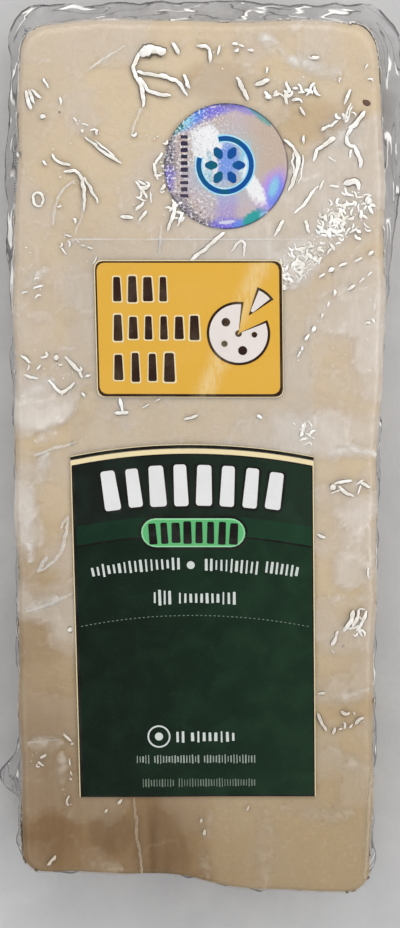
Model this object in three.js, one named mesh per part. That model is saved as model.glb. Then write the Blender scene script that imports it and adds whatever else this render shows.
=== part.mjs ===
// A block of hard cheese, vacuum-packed in clear film: a flat slab with cut sides, a
// thin seal margin of loose film all round it, and on its top face one long clear label
// and a round security sticker.
//
// Millimetres, +Z up, +Y along the block. The origin lies under the middle of the whole
// pack, on the surface that it rests on. "Far" is the +Y end and "near" the -Y end.

import * as THREE from "three";

const { clamp, degToRad, smoothstep } = THREE.MathUtils;

// ---------------------------------------------------------------- driving dimensions

// The block, with where each of its sides stands.
const blockHeight = 19;
const leftReach = 33.1;
const rightReach = 31.8;
const farReach = 79.25;
const nearReach = 75.35;
const cornerRadius = 4; // of its upright corners
const edgeRadius = 1.8; // along its top and bottom edges
const sideTaper = 2.3; // how far the left side draws in towards the far end
const rightSwell = 0.9; // of the right side, past the middle
const farRounding = 1.1; // how far the far end falls back at its corners
const nearSkew = 3.7; // how much further the right half of the near end reaches
const edgeDrop = 0.5; // how far the top falls towards its edges
const topRelief = 0.3; // gentle highs and lows of the top face
const sideRelief = 0.35; // and of the cut sides

// The seal margin: the two films pressed together round the block.
const marginHeight = 6; // of its middle, above the table
const marginThickness = 0.9;
const marginWidth = 1.3; // along its plain stretches
const farMargin = 2.9; // how much wider it is at the far end
const nearMargin = 3.1; // and at the near end
const marginDroop = 1.3; // of its free edge
const marginRipple = 0.9; // up and down along its free edge
const marginFray = 0.35; // in and out along its free edge

// Where the margin sticks out further at a side (-1 left, 1 right) of the block.
const ears = [
  { side: 1, y: 63, spread: 17, reach: 5.5 },
  { side: 1, y: -57, spread: 4.5, reach: 1.3 },
  { side: -1, y: 62, spread: 28, reach: 1.7 },
  { side: -1, y: -61, spread: 8, reach: 3.63 },
];

// What is stuck on the top face. Each piece lies this much clear of the film.
const stickerGap = 0.3;
const label = { width: 43.4, length: 101.6, thickness: 0.4, x: -1.25, y: -8.9 };
const labelLean = degToRad(0.95); // its long sides lean this far to the left
const disc = { diameter: 21.6, thickness: 0.3, x: 4.55, y: 54.35 };

// How finely the shapes are divided.
const blockSteps = { across: 22, along: 42, up: 3, edge: 3, corner: 3 };
const labelSteps = { across: 10, along: 24 };
const discSteps = { round: 32, rings: 3 };

// ---------------------------------------------------------------- the block's form

const ramp = (value, from, to) => clamp((value - from) / (to - from), 0, 1);
const hump = (value, middle, spread) => Math.exp(-(((value - middle) / spread) ** 2));

// The four sides of the cut block, which are not quite true.
const leftSide = (y) => sideTaper * ramp(y, 12, 78) ** 2 - leftReach;
const rightSide = (y) =>
  rightReach + rightSwell * hump(y, 35, 22) - 0.5 * sideTaper * ramp(y, 37, 78) ** 2;
const farEnd = (x) => farReach - farRounding * (x / leftReach) ** 4;
const nearEnd = (x) => -nearReach - nearSkew * smoothstep(x, -9, 13);

// The plain box that the true sides are warped from.
const plain = {
  halfWidth: (leftReach + rightReach) / 2,
  halfLength: (farReach + nearReach) / 2,
};

// Takes a place on the plain box's floor plan to the true outline's place.
function warp(plainX, plainY) {
  const across = plainX / plain.halfWidth;
  const along = plainY / plain.halfLength;
  const y = along > 0 ? along * farEnd(plainX) : -along * nearEnd(plainX);
  const x = across > 0 ? across * rightSide(y) : -across * leftSide(y);
  return { x, y };
}

// The height of the top face: long low waves, falling off towards the edges.
function topHeight(x, y) {
  const waves =
    0.5 * Math.sin(x / 9.5 + y / 23) +
    0.3 * Math.sin(y / 8.3 - x / 14 + 1.3) +
    0.2 * Math.sin(x / 4.1 + 0.7) * Math.sin(y / 6.7);
  const nearEdge = Math.abs(x / leftReach) ** 6 + Math.abs(y / farReach) ** 16;
  return blockHeight + topRelief * waves - edgeDrop * Math.min(nearEdge, 1.4);
}

// How far a cut side stands out from its plain face, at a place along it.
function sideBulge(along, z) {
  const waves = Math.sin(along / 6.1 + z / 5) + 0.7 * Math.sin(along / 2.9 - z / 3.1);
  return sideRelief * (0.5 * waves + 0.7 * Math.sin((Math.PI * z) / blockHeight));
}

// The bulge of all four sides at a place in the plain box. It fades out inwards.
function bulge(plainX, plainY, z) {
  const across = plainX / plain.halfWidth;
  const along = plainY / plain.halfLength;
  return {
    x: Math.sign(across) * Math.abs(across) ** 6 * sideBulge(plainY + 7 * Math.sign(across), z),
    y: Math.sign(along) * Math.abs(along) ** 20 * sideBulge(plainX + 3 * Math.sign(along), z),
  };
}

// How far the seal margin reaches out of the block at a place on its outline, where the
// outline faces the way that out says.
function marginReach(x, y, out) {
  let reach = marginWidth + (out.y > 0 ? farMargin : nearMargin) * Math.abs(out.y);
  for (const ear of ears) {
    const facing = Math.max(ear.side * out.x, 0);
    reach += facing * ear.reach * hump(y, ear.y, ear.spread);
  }
  return reach + marginFray * Math.sin(0.9 * x + 1.1 * y);
}

// ---------------------------------------------------------------- helpers

// Places from -half to half, close together on the rounding at either end.
function stations(half, radius, roundSteps, plainSteps) {
  const start = [];
  for (let i = 0; i < roundSteps; i++) {
    start.push(-half + radius * (1 - Math.cos((i / roundSteps) * (Math.PI / 2))));
  }
  const middle = [];
  for (let i = 0; i <= plainSteps; i++) {
    middle.push((half - radius) * ((2 * i) / plainSteps - 1));
  }
  const end = start.map((place) => -place).reverse();
  return [...start, ...middle, ...end];
}

// How far a rounding of this radius has pulled in, at a depth under the outer face.
function pullIn(depth, radius) {
  const inside = clamp(radius - depth, 0, radius);
  return radius - Math.sqrt(radius * radius - inside * inside);
}

// Moves every vertex of a geometry to where place(vertex) sets it.
function moveVertices(geometry, place) {
  const positions = geometry.attributes.position;
  const vertex = new THREE.Vector3();
  for (let i = 0; i < positions.count; i++) {
    vertex.fromBufferAttribute(positions, i);
    place(vertex);
    positions.setXYZ(i, vertex.x, vertex.y, vertex.z);
  }
  geometry.computeVertexNormals();
  return geometry;
}

// ---------------------------------------------------------------- the pieces

// The rows that a side is made of, from the base up: how high each one lies, and what
// share of the seal margin's width it reaches out.
function sideRows() {
  const { up, edge } = blockSteps;
  const rows = [];
  for (let i = 0; i <= edge; i++) {
    const height = edgeRadius * (1 - Math.cos((i / edge) * (Math.PI / 2)));
    rows.push({ height, out: 0 });
  }
  const half = marginThickness / 2;
  rows.push({ height: marginHeight - half, out: 0 });
  rows.push({ height: marginHeight - half, out: 0.6 });
  rows.push({ height: marginHeight - half * 0.7, out: 1 });
  rows.push({ height: marginHeight + half * 0.7, out: 1 });
  rows.push({ height: marginHeight + half, out: 0.6 });
  rows.push({ height: marginHeight + half, out: 0 });
  const plainTop = blockHeight - edgeRadius;
  for (let i = 1; i < up; i++) {
    const height = marginHeight + half + (plainTop - marginHeight - half) * (i / up);
    rows.push({ height, out: 0 });
  }
  for (let i = 0; i <= edge; i++) {
    const height = plainTop + edgeRadius * Math.sin((i / edge) * (Math.PI / 2));
    rows.push({ height, out: 0 });
  }
  return rows;
}

// The sealed block, from a box whose vertices are moved to the slab's true sides, its
// waved top and its flat base, and out along the seal margin.
function makeSealedBlock() {
  const { across, along, edge, corner } = blockSteps;
  const xs = stations(plain.halfWidth, 0, 0, across);
  const ys = stations(plain.halfLength, cornerRadius, corner, along);
  const rows = sideRows();
  const steps = [xs.length - 1, ys.length - 1, rows.length - 1];
  const at = (places, value) => places[Math.round((value + 0.5) * (places.length - 1))];

  return moveVertices(new THREE.BoxGeometry(1, 1, 1, ...steps), (vertex) => {
    const onEnd = Math.abs(vertex.y) > 0.499;
    const y = at(ys, vertex.y);
    const row = at(rows, vertex.z);

    // Which way the outline faces here: it turns from side to end round each corner.
    const turn = clamp((Math.abs(y) - plain.halfLength) / cornerRadius + 1, 0, 1);
    const out = { x: 0, y: Math.sign(vertex.y) };
    if (!onEnd) {
      out.x = Math.sign(vertex.x) * Math.sqrt(1 - turn * turn);
      out.y *= turn;
    }

    // Rounded in section by the long edges, and in plan by the upright corners.
    const depth = Math.min(row.height, blockHeight - row.height);
    const inset = pullIn(depth, edgeRadius);
    const rounding = pullIn(plain.halfLength - Math.abs(y), cornerRadius);
    const narrowing = (plain.halfWidth - inset - rounding) / plain.halfWidth;
    const shortening = (plain.halfLength - inset) / plain.halfLength;
    const plainX = at(xs, vertex.x) * narrowing;
    const plainY = y * shortening;

    const reach = row.out * marginReach(plainX, plainY, out);
    const place = warp(plainX + out.x * reach, plainY + out.y * reach);
    const pushed = bulge(plainX, plainY, row.height);
    place.x += pushed.x;
    place.y += pushed.y;

    const ripple = marginRipple * Math.sin(0.55 * place.y - 0.8 * place.x);
    const lift = row.out ** 2 * (ripple - marginDroop);
    const stretch = topHeight(place.x, place.y) / blockHeight;
    vertex.set(place.x, place.y, row.height * (row.out ? 1 : stretch) + lift);
  });
}

// The clear label: one thin plate that follows the top face.
function makeLabel() {
  const { across, along } = labelSteps;
  const { width, length, thickness } = label;
  const plate = new THREE.BoxGeometry(width, length, thickness, across, along, 1);
  return moveVertices(plate, (vertex) => {
    const x = label.x + vertex.x - Math.tan(labelLean) * vertex.y;
    const y = label.y + vertex.y;
    const rise = stickerGap + thickness / 2 + vertex.z;
    vertex.set(x, y, topHeight(x, y) + rise);
  });
}

// The round sticker: a thin disc of rings that follows the top face.
function makeDisc() {
  const { round, rings } = discSteps;
  const profile = [];
  for (let i = 0; i <= rings; i++) {
    profile.push(new THREE.Vector2((disc.diameter / 2) * (i / rings), 0));
  }
  for (let i = rings; i >= 0; i--) {
    profile.push(new THREE.Vector2((disc.diameter / 2) * (i / rings), disc.thickness));
  }
  const lathe = new THREE.LatheGeometry(profile, round).rotateX(Math.PI / 2);
  return moveVertices(lathe, (vertex) => {
    const x = disc.x + vertex.x;
    const y = disc.y + vertex.y;
    vertex.set(x, y, topHeight(x, y) + stickerGap + vertex.z);
  });
}

// ---------------------------------------------------------------- the assembly

const packFilm = new THREE.MeshStandardMaterial({
  color: 0xcfc0a2,
  roughness: 0.25,
  metalness: 0,
});
const labelFilm = new THREE.MeshStandardMaterial({
  color: 0x1f3a29,
  roughness: 0.3,
  metalness: 0,
});
const foil = new THREE.MeshStandardMaterial({
  color: 0xb9c0dd,
  roughness: 0.2,
  metalness: 0.8,
});

const pack = new THREE.Mesh(makeSealedBlock(), packFilm);
pack.name = "vacuum_pack";
const frontLabel = new THREE.Mesh(makeLabel(), labelFilm);
frontLabel.name = "front_label";
const sticker = new THREE.Mesh(makeDisc(), foil);
sticker.name = "hologram_sticker";

// The pack's middle is brought exactly over the origin, and its base to z = 0.
const cheesePack = new THREE.Group();
cheesePack.add(pack, frontLabel, sticker);
const bounds = new THREE.Box3().setFromObject(cheesePack, true);
const middle = bounds.getCenter(new THREE.Vector3());
cheesePack.position.set(-middle.x, -middle.y, -bounds.min.z);

export default cheesePack;
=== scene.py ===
"""A vacuum-packed block of hard cheese: the cheese, its clear film with a loose seal
margin, a clear label with printed panels, and a round foil sticker.

Lengths are in millimetres until a mesh is made, in the same frame as the solids: +Z up,
+Y along the block towards its far end, the origin under the middle of the pack."""

import math

import bpy
import numpy as np
from bpy.props import FloatProperty, FloatVectorProperty, IntProperty, PointerProperty
from bpy.types import Operator, Panel, PropertyGroup
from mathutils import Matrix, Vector
from mathutils.bvhtree import BVHTree


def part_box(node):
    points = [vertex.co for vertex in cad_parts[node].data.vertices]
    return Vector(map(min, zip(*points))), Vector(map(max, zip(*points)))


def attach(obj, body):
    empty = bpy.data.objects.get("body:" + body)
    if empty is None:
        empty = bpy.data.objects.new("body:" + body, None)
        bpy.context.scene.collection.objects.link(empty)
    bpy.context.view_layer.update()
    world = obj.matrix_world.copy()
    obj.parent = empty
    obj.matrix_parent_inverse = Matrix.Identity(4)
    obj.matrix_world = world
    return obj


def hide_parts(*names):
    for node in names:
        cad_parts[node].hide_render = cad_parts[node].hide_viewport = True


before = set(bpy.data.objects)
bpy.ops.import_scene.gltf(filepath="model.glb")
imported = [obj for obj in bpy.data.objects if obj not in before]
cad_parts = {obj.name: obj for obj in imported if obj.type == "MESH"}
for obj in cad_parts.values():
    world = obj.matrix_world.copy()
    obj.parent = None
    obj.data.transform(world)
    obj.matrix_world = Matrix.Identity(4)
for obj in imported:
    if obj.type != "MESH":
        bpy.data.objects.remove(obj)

bl_info = {
    "name": "Vacuum-packed cheese block",
    "version": (1, 0, 0),
    "blender": (4, 5, 0),
    "location": "3D View > Sidebar > Cheese",
    "description": "Builds a block of hard cheese in clear film, with its label and sticker",
    "category": "Add Mesh",
}

MM = 0.001
SHARP_ANGLE = math.radians(50)
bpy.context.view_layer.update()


def millimetres(node):
    """The lowest and highest corner of a solid, in millimetres."""
    low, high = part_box(node)
    return np.array(low) / MM, np.array(high) / MM


# ------------------------ driving values

# The block, as in the solids.
BLOCK_HEIGHT = 19.0
LEFT_REACH, RIGHT_REACH = 33.1, 31.8
FAR_REACH, NEAR_REACH = 79.25, 75.35
CORNER_RADIUS, EDGE_RADIUS = 4.0, 1.8
SIDE_TAPER, LEFT_TAPER_START, RIGHT_TAPER_START, TAPER_END = 2.3, 12.0, 37.0, 78.0
RIGHT_SWELL, SWELL_MIDDLE, SWELL_SPREAD = 0.9, 35.0, 22.0
FAR_ROUNDING, NEAR_SKEW, NEAR_STEP = 1.1, 3.7, (-9.0, 13.0)
EDGE_DROP, TOP_RELIEF, SIDE_RELIEF = 0.5, 0.3, 0.35
HALF_WIDTH = (LEFT_REACH + RIGHT_REACH) / 2
HALF_LENGTH = (FAR_REACH + NEAR_REACH) / 2

# The seal margin, close to the solids' own.
MARGIN_HEIGHT, MARGIN_ROOM = 6.0, 0.75  # its height, and the rows it clears either side
MARGIN_WIDTH, FAR_MARGIN, NEAR_MARGIN = 1.3, 2.9, 3.1
MARGIN_DROOP, MARGIN_RIPPLE, MARGIN_FRAY = 1.3, 0.9, 0.35
EARS = (  # side, place along the block, spread, extra reach
    (1, 63, 17, 5.5),
    (1, -57, 4.5, 0.5),
    (-1, 62, 28, 1.7),
    (-1, -61, 3.4, 3.9),
)

# The label and the sticker, where the solids have them.
LABEL_LEAN = math.tan(math.radians(0.95))
LABEL_LOW, LABEL_HIGH = millimetres("front_label")
LABEL_CENTRE = (LABEL_LOW + LABEL_HIGH) / 2
LABEL_LENGTH = LABEL_HIGH[1] - LABEL_LOW[1]
LABEL_WIDTH = LABEL_HIGH[0] - LABEL_LOW[0] - LABEL_LEAN * LABEL_LENGTH
DISC_LOW, DISC_HIGH = millimetres("hologram_sticker")
DISC_CENTRE = (DISC_LOW + DISC_HIGH) / 2
DISC_RADIUS = (DISC_HIGH[0] - DISC_LOW[0]) / 2

# How the thin layers lie over the block's top face.
FILM_GAP = 0.2  # from the solid's face to the film
SHEET_GAP = 0.1  # from the film to the label or the sticker
SHEET_THICKNESS = 0.08
INK_STEP = 0.045  # from one printed layer to the next
INK_THICKNESS = 0.035
CHEESE_INSET = 0.12
FACET_LIFT, RIDGE_LIFT = 0.22, 0.06  # of a milky facet, and of the edges between facets

# The cells of the meshes: their size on the cheese and on the film, the height of a row up
# the sides, and the steps round an edge and round a corner.
CHEESE_CELL, FILM_CELL, ROW_STEP = 0.95, 0.62, 0.95
EDGE_STEPS, CORNER_STEPS = 5, 8
SHEET_CELLS = (30, 70)

# The radius of the print's arches, and of an arch that is as good as a straight line.
ARCH_RADIUS, STRAIGHT = 106.0, 1e9

CRIMP_PITCH = 0.5  # between the crimps of the seal along the left side


# ------------------------ numbers and noise


def smoothstep(value, low, high):
    """0 up to low and 1 from high on, with an eased rise between them."""
    t = np.clip((value - low) / (high - low), 0, 1)
    return t * t * (3 - 2 * t)


def hump(value, middle, spread):
    """1 at the middle, falling away to both sides."""
    return np.exp(-(((value - middle) / spread) ** 2))


def leaned(u, v, lean):
    """A place turned about the origin by this many degrees."""
    cos, sin = math.cos(math.radians(lean)), math.sin(math.radians(lean))
    return u * cos - v * sin, u * sin + v * cos


def noise(x, y, size, seed):
    """Smooth noise between about -1 and 1, with lumps of this size."""
    draw = np.random.default_rng(seed)
    order = np.tile(draw.permutation(256), 2)
    turns = draw.uniform(0, 2 * np.pi, 256)
    x, y = np.asarray(x) / size, np.asarray(y) / size
    i, j = np.floor(x).astype(int), np.floor(y).astype(int)
    fx, fy = x - i, y - j

    def slope(di, dj):
        turn = turns[order[(order[(i + di) & 255] + j + dj) & 255]]
        return np.cos(turn) * (fx - di) + np.sin(turn) * (fy - dj)

    ease_x = fx**3 * (fx * (fx * 6 - 15) + 10)
    ease_y = fy**3 * (fy * (fy * 6 - 15) + 10)
    near = slope(0, 0) * (1 - ease_x) + slope(1, 0) * ease_x
    far = slope(0, 1) * (1 - ease_x) + slope(1, 1) * ease_x
    return 1.5 * (near * (1 - ease_y) + far * ease_y)


# ------------------------ the block's form


def taper(y, start):
    """How far a side has turned inwards, as a share of all it does by the far corners."""
    return np.clip((y - start) / (TAPER_END - start), 0, 1) ** 2


def left_side(y):
    return SIDE_TAPER * taper(y, LEFT_TAPER_START) - LEFT_REACH


def right_side(y):
    """The right side swells a little, and turns inwards half as much as the left one."""
    swell = RIGHT_SWELL * hump(y, SWELL_MIDDLE, SWELL_SPREAD)
    return RIGHT_REACH + swell - 0.5 * SIDE_TAPER * taper(y, RIGHT_TAPER_START)


def far_end(x):
    return FAR_REACH - FAR_ROUNDING * (x / LEFT_REACH) ** 4


def near_end(x):
    """The near end steps outwards from its left half to its right half."""
    return -NEAR_REACH - NEAR_SKEW * smoothstep(x, *NEAR_STEP)


def warp(plain_x, plain_y):
    """Takes a place on the plain box's floor plan to the true outline's place."""
    across, along = plain_x / HALF_WIDTH, plain_y / HALF_LENGTH
    y = np.where(along > 0, along * far_end(plain_x), -along * near_end(plain_x))
    x = np.where(across > 0, across * right_side(y), -across * left_side(y))
    return x, y


def top_height(x, y):
    """The height of the block's top face."""
    waves = 0.5 * np.sin(x / 9.5 + y / 23) + 0.3 * np.sin(y / 8.3 - x / 14 + 1.3)
    waves += 0.2 * np.sin(x / 4.1 + 0.7) * np.sin(y / 6.7)
    near_edge = np.abs(x / LEFT_REACH) ** 6 + np.abs(y / FAR_REACH) ** 16
    return BLOCK_HEIGHT + TOP_RELIEF * waves - EDGE_DROP * np.minimum(near_edge, 1.4)


def side_bulge(along, z):
    """How far a side stands out at a place along it and a height."""
    waves = np.sin(along / 6.1 + z / 5) + 0.7 * np.sin(along / 2.9 - z / 3.1)
    return SIDE_RELIEF * (0.5 * waves + 0.7 * np.sin(np.pi * z / BLOCK_HEIGHT))


def margin_reach(x, y, out_x, out_y):
    """How far the seal margin reaches out where the outline faces (out_x, out_y)."""
    reach = MARGIN_WIDTH + np.where(out_y > 0, FAR_MARGIN, NEAR_MARGIN) * np.abs(out_y)
    for side, middle, spread, extra in EARS:
        reach = reach + np.maximum(side * out_x, 0) * extra * hump(y, middle, spread)
    return reach + MARGIN_FRAY * noise(x, y, 4.5, 38)


def clear_of_stickers(x, y, fade=1.6):
    """0 under the label and the round sticker, 1 where the film is bare."""
    v = y - LABEL_CENTRE[1]
    u = x - LABEL_CENTRE[0] + LABEL_LEAN * v
    past_label = np.maximum(np.abs(u) - LABEL_WIDTH / 2, np.abs(v) - LABEL_LENGTH / 2)
    past_disc = np.hypot(x - DISC_CENTRE[0], y - DISC_CENTRE[1]) - DISC_RADIUS
    return smoothstep(np.minimum(past_label, past_disc), 0, fade)


# The film lies over the cheese in facets: the middle of each, and how far it stands off, which
# is how milky it looks, a whiteness that is partly the film standing off and partly painted
# reflection.
FACETS = (
    # far end
    (-27, 76, 0.35), (-20, 76, 0.4), (-13, 77, 0.45), (-28, 69, 0.25), (-15, 67, 0.0),
    (-8, 71, 0.0), (-4, 77, 0.1), (-19, 63.5, 0.45), (-14, 60, 0.05), (-7, 64, 0.05),
    (0, 73, 0.05), (3, 78, 0.15), (10, 76, 0.35), (3, 69, 0.3), (6, 65, 0.2),
    (14, 71.5, 0.0), (21, 74.5, 0.45), (28, 77, 0.1), (30, 70, 0.15), (14, 67, 0.25),
    (18, 64.5, 0.1), (25, 67, 0.15), (29, 65.5, 0.0), (19, 61, 0.0), (25, 61, 0.5), (30, 60, 0.55),
    # beside and below the round sticker
    (22, 55, 0.65), (29, 54, 0.65), (27, 48, 0.65), (20, 48, 0.65), (15, 43.5, 0.6), (17.5, 38, 0.9),
    (22, 42, 0.75), (29, 43, 0.55), (-30, 60, 0.25), (-25, 57, 0.1), (-19, 56, 0.0),
    (-14, 56, 0.1), (-9, 54, 0.4), (-10, 48, 0.4), (-25, 51, 0.1), (-29, 48, 0.35),
    (-18, 50, 0.15), (-21, 45, 0.2), (-14, 44, 0.3), (-4, 43, 0.4), (2, 42, 0.6),
    (9, 42, 0.7), (-6, 48, 0.3),
    # beside the badge
    (-30, 41, 0.35), (-25, 40, 0.2), (-29, 35, 0.4), (-24, 36, 0.4), (-20, 39, 0.3),
    (-22, 32.5, 0.5), (-27, 31, 0.3), (-30, 26, 0.45), (-24, 27, 0.2), (-20.5, 25, 0.4),
    (-28, 21, 0.35), (-22, 20, 0.35), (-29, 15.5, 0.65), (-24.5, 16.5, 0.4), (-29, 10.6, 0.95),
    (-25, 12.5, 0.8), (-21, 11, 0.0), (-25, 7.6, 0.0), (-29.8, 5.2, 0.0), (18, 30.5, 0.2),
    (20.5, 34, 0.25), (23.5, 29, 0.6), (23.5, 39, 0.3), (27.5, 36.5, 0.55), (30.5, 41.5, 0.15),
    (16, 24, 0.3), (21, 26.5, 0.55), (27.5, 29, 0.7), (23.2, 22, 0.15), (21.5, 16.8, 0.2),
    (29.8, 21.5, 0.7), (29.6, 17, 0.65), (26.5, 17, 0.3), (17.5, 19, 0.5), (27.5, 12.7, 0.25),
    (23.5, 13.5, 0.25), (17.5, 13, 0.35),
    (-14, 12.5, 0.35), (-8, 9, 0.15), (-2, 10.5, 0.15),
    (4, 11, 0.2), (10, 8, 0.5), (11, 12.5, 0.3), (16.5, 8.5, 0.75), (22.5, 7.5, 0.75),
    (29, 7, 0.65), (28, 2.5, 0.0), (-17, 8, 0.2),
    # beside the upper field
    (-31, 1.5, 0.35), (-25.5, 2.5, 0.3), (-31.5, -4, 0.8), (-27, -3.5, 0.15), (-23.5, -8, 0.1),
    (-31.2, -10, 0.75), (-27.4, -9.5, 0.05), (-30, -16, 0.2), (-24.5, -15, 0.45), (-28, -19.5, 0.1),
    (-30, -24.5, 0.7), (-25.5, -22.5, 0.75), (-25, -27.5, 0.8), (-29.5, -29.5, 0.0),
    (-27, -35, 0.0), (23, 1, 0.2), (31, 0, 0.3), (25.5, -3.5, 0.45), (21.5, -9, 0.25),
    (28, -8, 0.85), (32, -12, 0.3), (24, -12, 0.5), (29, -13, 0.85), (27.5, -18, 0.85),
    (22, -19, 0.05), (31, -20.5, 0.5), (27, -23.3, 0.0), (24, -27, 0.6), (30, -28, 0.75),
    (26, -31, 0.7), (22.5, -36, 0.05), (26, -35, 0.15), (30.5, -36, 0.75), (28.5, -39.3, 0.85),
    (23.5, -39.8, 0.85), (24, -43.6, 0.1), (29.5, -43, 0.15), (31, -46.8, 0.6), (25.5, -46.8, 0.15),
    # near end
    (-28, -45, 0.3), (-29.5, -53, 0.45), (-25.5, -53, 0.25), (-30, -60, 0.45), (-25, -59.5, 0.45),
    (-20, -62, 0.55), (-28, -66, 0.0), (-25, -71, 0.1), (-30.5, -72, 0.25), (-20, -67, 0.15),
    (-19.5, -73, 0.4), (-15, -69, 0.1), (-8, -65, 0.0), (-6, -72, 0.0), (-2.5, -62, 0.4),
    (-1, -69, 0.1), (3.5, -64, 0.3), (5, -71, 0.2), (9, -63.5, 0.35), (12.3, -71, 0.5),
    (17, -68, 0.1), (17, -76, 0.25), (20, -62, 0.25), (24.5, -69, 0.05), (23, -76, 0.15),
    (22.3, -50.4, 0.6), (28, -50.2, 0.1), (24, -54.3, 0.9), (30, -55, 0.95), (23, -59, 0.0),
    (29.5, -59.5, 0.9), (28, -64, 0.2), (31.5, -66.5, 0.5), (30, -72, 0.3),
)


def facets(x, y, depth=0.0):
    """How far the film stands off at a place, and how near an edge between facets it is.
    On the block's sides the facets drift with the depth under the top."""
    drift = depth * noise(x + 0.5 * depth, y - 0.8 * depth, 8, 55)
    stray_x = 1.6 * noise(x, y, 7, 51) + 0.9 * noise(x, y, 2.8, 52) + drift
    stray_y = 1.6 * noise(x, y, 7, 53) + 0.9 * noise(x, y, 2.8, 54) + 1.4 * drift
    middle_x, middle_y, amount = np.array(FACETS).T
    away = np.hypot((x + stray_x)[:, None] - middle_x, (y + stray_y)[:, None] - middle_y)
    order = np.argsort(away, axis=1)[:, :2]
    nearest, next_nearest = np.take_along_axis(away, order, 1).T
    gap = next_nearest - nearest
    blend = 0.5 + 0.5 * smoothstep(gap, 0, 2 + 6 * np.maximum(noise(x, y, 9, 56), 0))
    first, second = amount[order].T
    return blend * first + (1 - blend) * second, 1 - smoothstep(gap, 0, 0.9)


def film_height(x, y):
    """The height of the film over the top face, which lifts off in places."""
    lift = 0.16 * np.maximum(noise(x, y, 11, 3), 0) + 0.09 * np.abs(noise(x, y, 6, 4))
    lift = lift + 0.05 * np.abs(noise(x + 0.4 * y, y - 0.4 * x, 2.6, 5))
    amount, edge = facets(x, y)
    lift = lift + FACET_LIFT * amount + RIDGE_LIFT * edge
    return top_height(x, y) + FILM_GAP + lift * clear_of_stickers(x, y)


def sheet_height(x, y):
    """The height that the underside of a label or sticker lies at."""
    ripple = 0.035 * noise(x, y, 7, 8)
    return top_height(x, y) + FILM_GAP + SHEET_GAP + ripple


# ------------------------ meshes


def closed_box(across, along, up):
    """The skin of a box of cells: each corner's three counts, and quads facing out."""
    shape = (across + 1, along + 1, up + 1)
    i, j, k = np.indices(shape)
    skin = (i % across == 0) | (j % along == 0) | (k % up == 0)
    number = np.full(shape, -1)
    number[skin] = np.arange(skin.sum())
    quads = []
    for face, inside_out in (
        (number[:, :, up], False),
        (number[:, :, 0], True),
        (number[across], False),
        (number[0], True),
        (number[:, along], True),
        (number[:, 0], False),
    ):
        ring = [face[:-1, :-1], face[1:, :-1], face[1:, 1:], face[:-1, 1:]]
        if inside_out:
            ring.reverse()
        quads.append(np.stack([corner.ravel() for corner in ring], 1))
    return (i[skin], j[skin], k[skin]), np.concatenate(quads)


def closed_disc(radius, rings, sectors):
    """A round plate: polar points as (u, v, top or bottom), and faces facing out."""
    turns = np.arange(sectors) * 2 * np.pi / sectors
    points, faces = [], []
    for level in (0, 1):
        points.append((0.0, 0.0, level))
        for ring in range(1, rings + 1):
            r = radius * ring / rings
            points += [(r * np.cos(t), r * np.sin(t), level) for t in turns]
    half = 1 + rings * sectors
    for s in range(sectors):
        n = (s + 1) % sectors
        for level, base in ((0, 0), (1, half)):
            tip = [base, base + 1 + s, base + 1 + n]
            faces.append(tip if level else tip[::-1])
            for ring in range(rings - 1):
                a, b = base + 1 + ring * sectors + s, base + 1 + ring * sectors + n
                cell = [a, a + sectors, b + sectors, b]
                faces.append(cell if level else cell[::-1])
        a, b = 1 + (rings - 1) * sectors + s, 1 + (rings - 1) * sectors + n
        faces.append([a, b, b + half, a + half])
    return np.array(points), faces


def add_piece(name, points, faces, material, smooth=True):
    """A mesh object from points in millimetres."""
    mesh = bpy.data.meshes.new(name)
    mesh.from_pydata((np.asarray(points) * MM).tolist(), [], [list(f) for f in faces])
    return add_mesh(name, mesh, material, smooth)


def add_mesh(name, mesh, material, smooth=True):
    """An object for a mesh that is in place, in metres."""
    mesh.materials.clear()
    mesh.materials.append(material)
    mesh.polygons.foreach_set("use_smooth", [smooth] * len(mesh.polygons))
    mesh.set_sharp_from_angle(angle=SHARP_ANGLE)
    mesh.update()
    piece = bpy.data.objects.new(name, mesh)
    bpy.context.scene.collection.objects.link(piece)
    return piece


def settle(piece, node):
    """Parents a piece to the root and hides the solid that it stands for."""
    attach(piece, "root")
    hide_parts(node)
    return piece


def paint(piece, name, values):
    """Stores one number for each vertex, for a material to read."""
    layer = piece.data.attributes.new(name, "FLOAT", "POINT")
    layer.data.foreach_set("value", np.asarray(values, np.float32))


def stations(half, radius, round_steps, plain_steps):
    """Places from -half to half, close together on the rounding at either end."""
    turn = np.arange(round_steps) / round_steps * np.pi / 2
    start = -half + radius * (1 - np.cos(turn))
    middle = np.linspace(radius - half, half - radius, plain_steps + 1)
    return np.concatenate([start, middle, -start[::-1]])


def pull_in(depth, radius):
    """How far a rounding has pulled in, at a depth under the outer face."""
    inside = np.clip(radius - depth, 0, radius)
    return radius - np.sqrt(radius**2 - inside**2)


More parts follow.
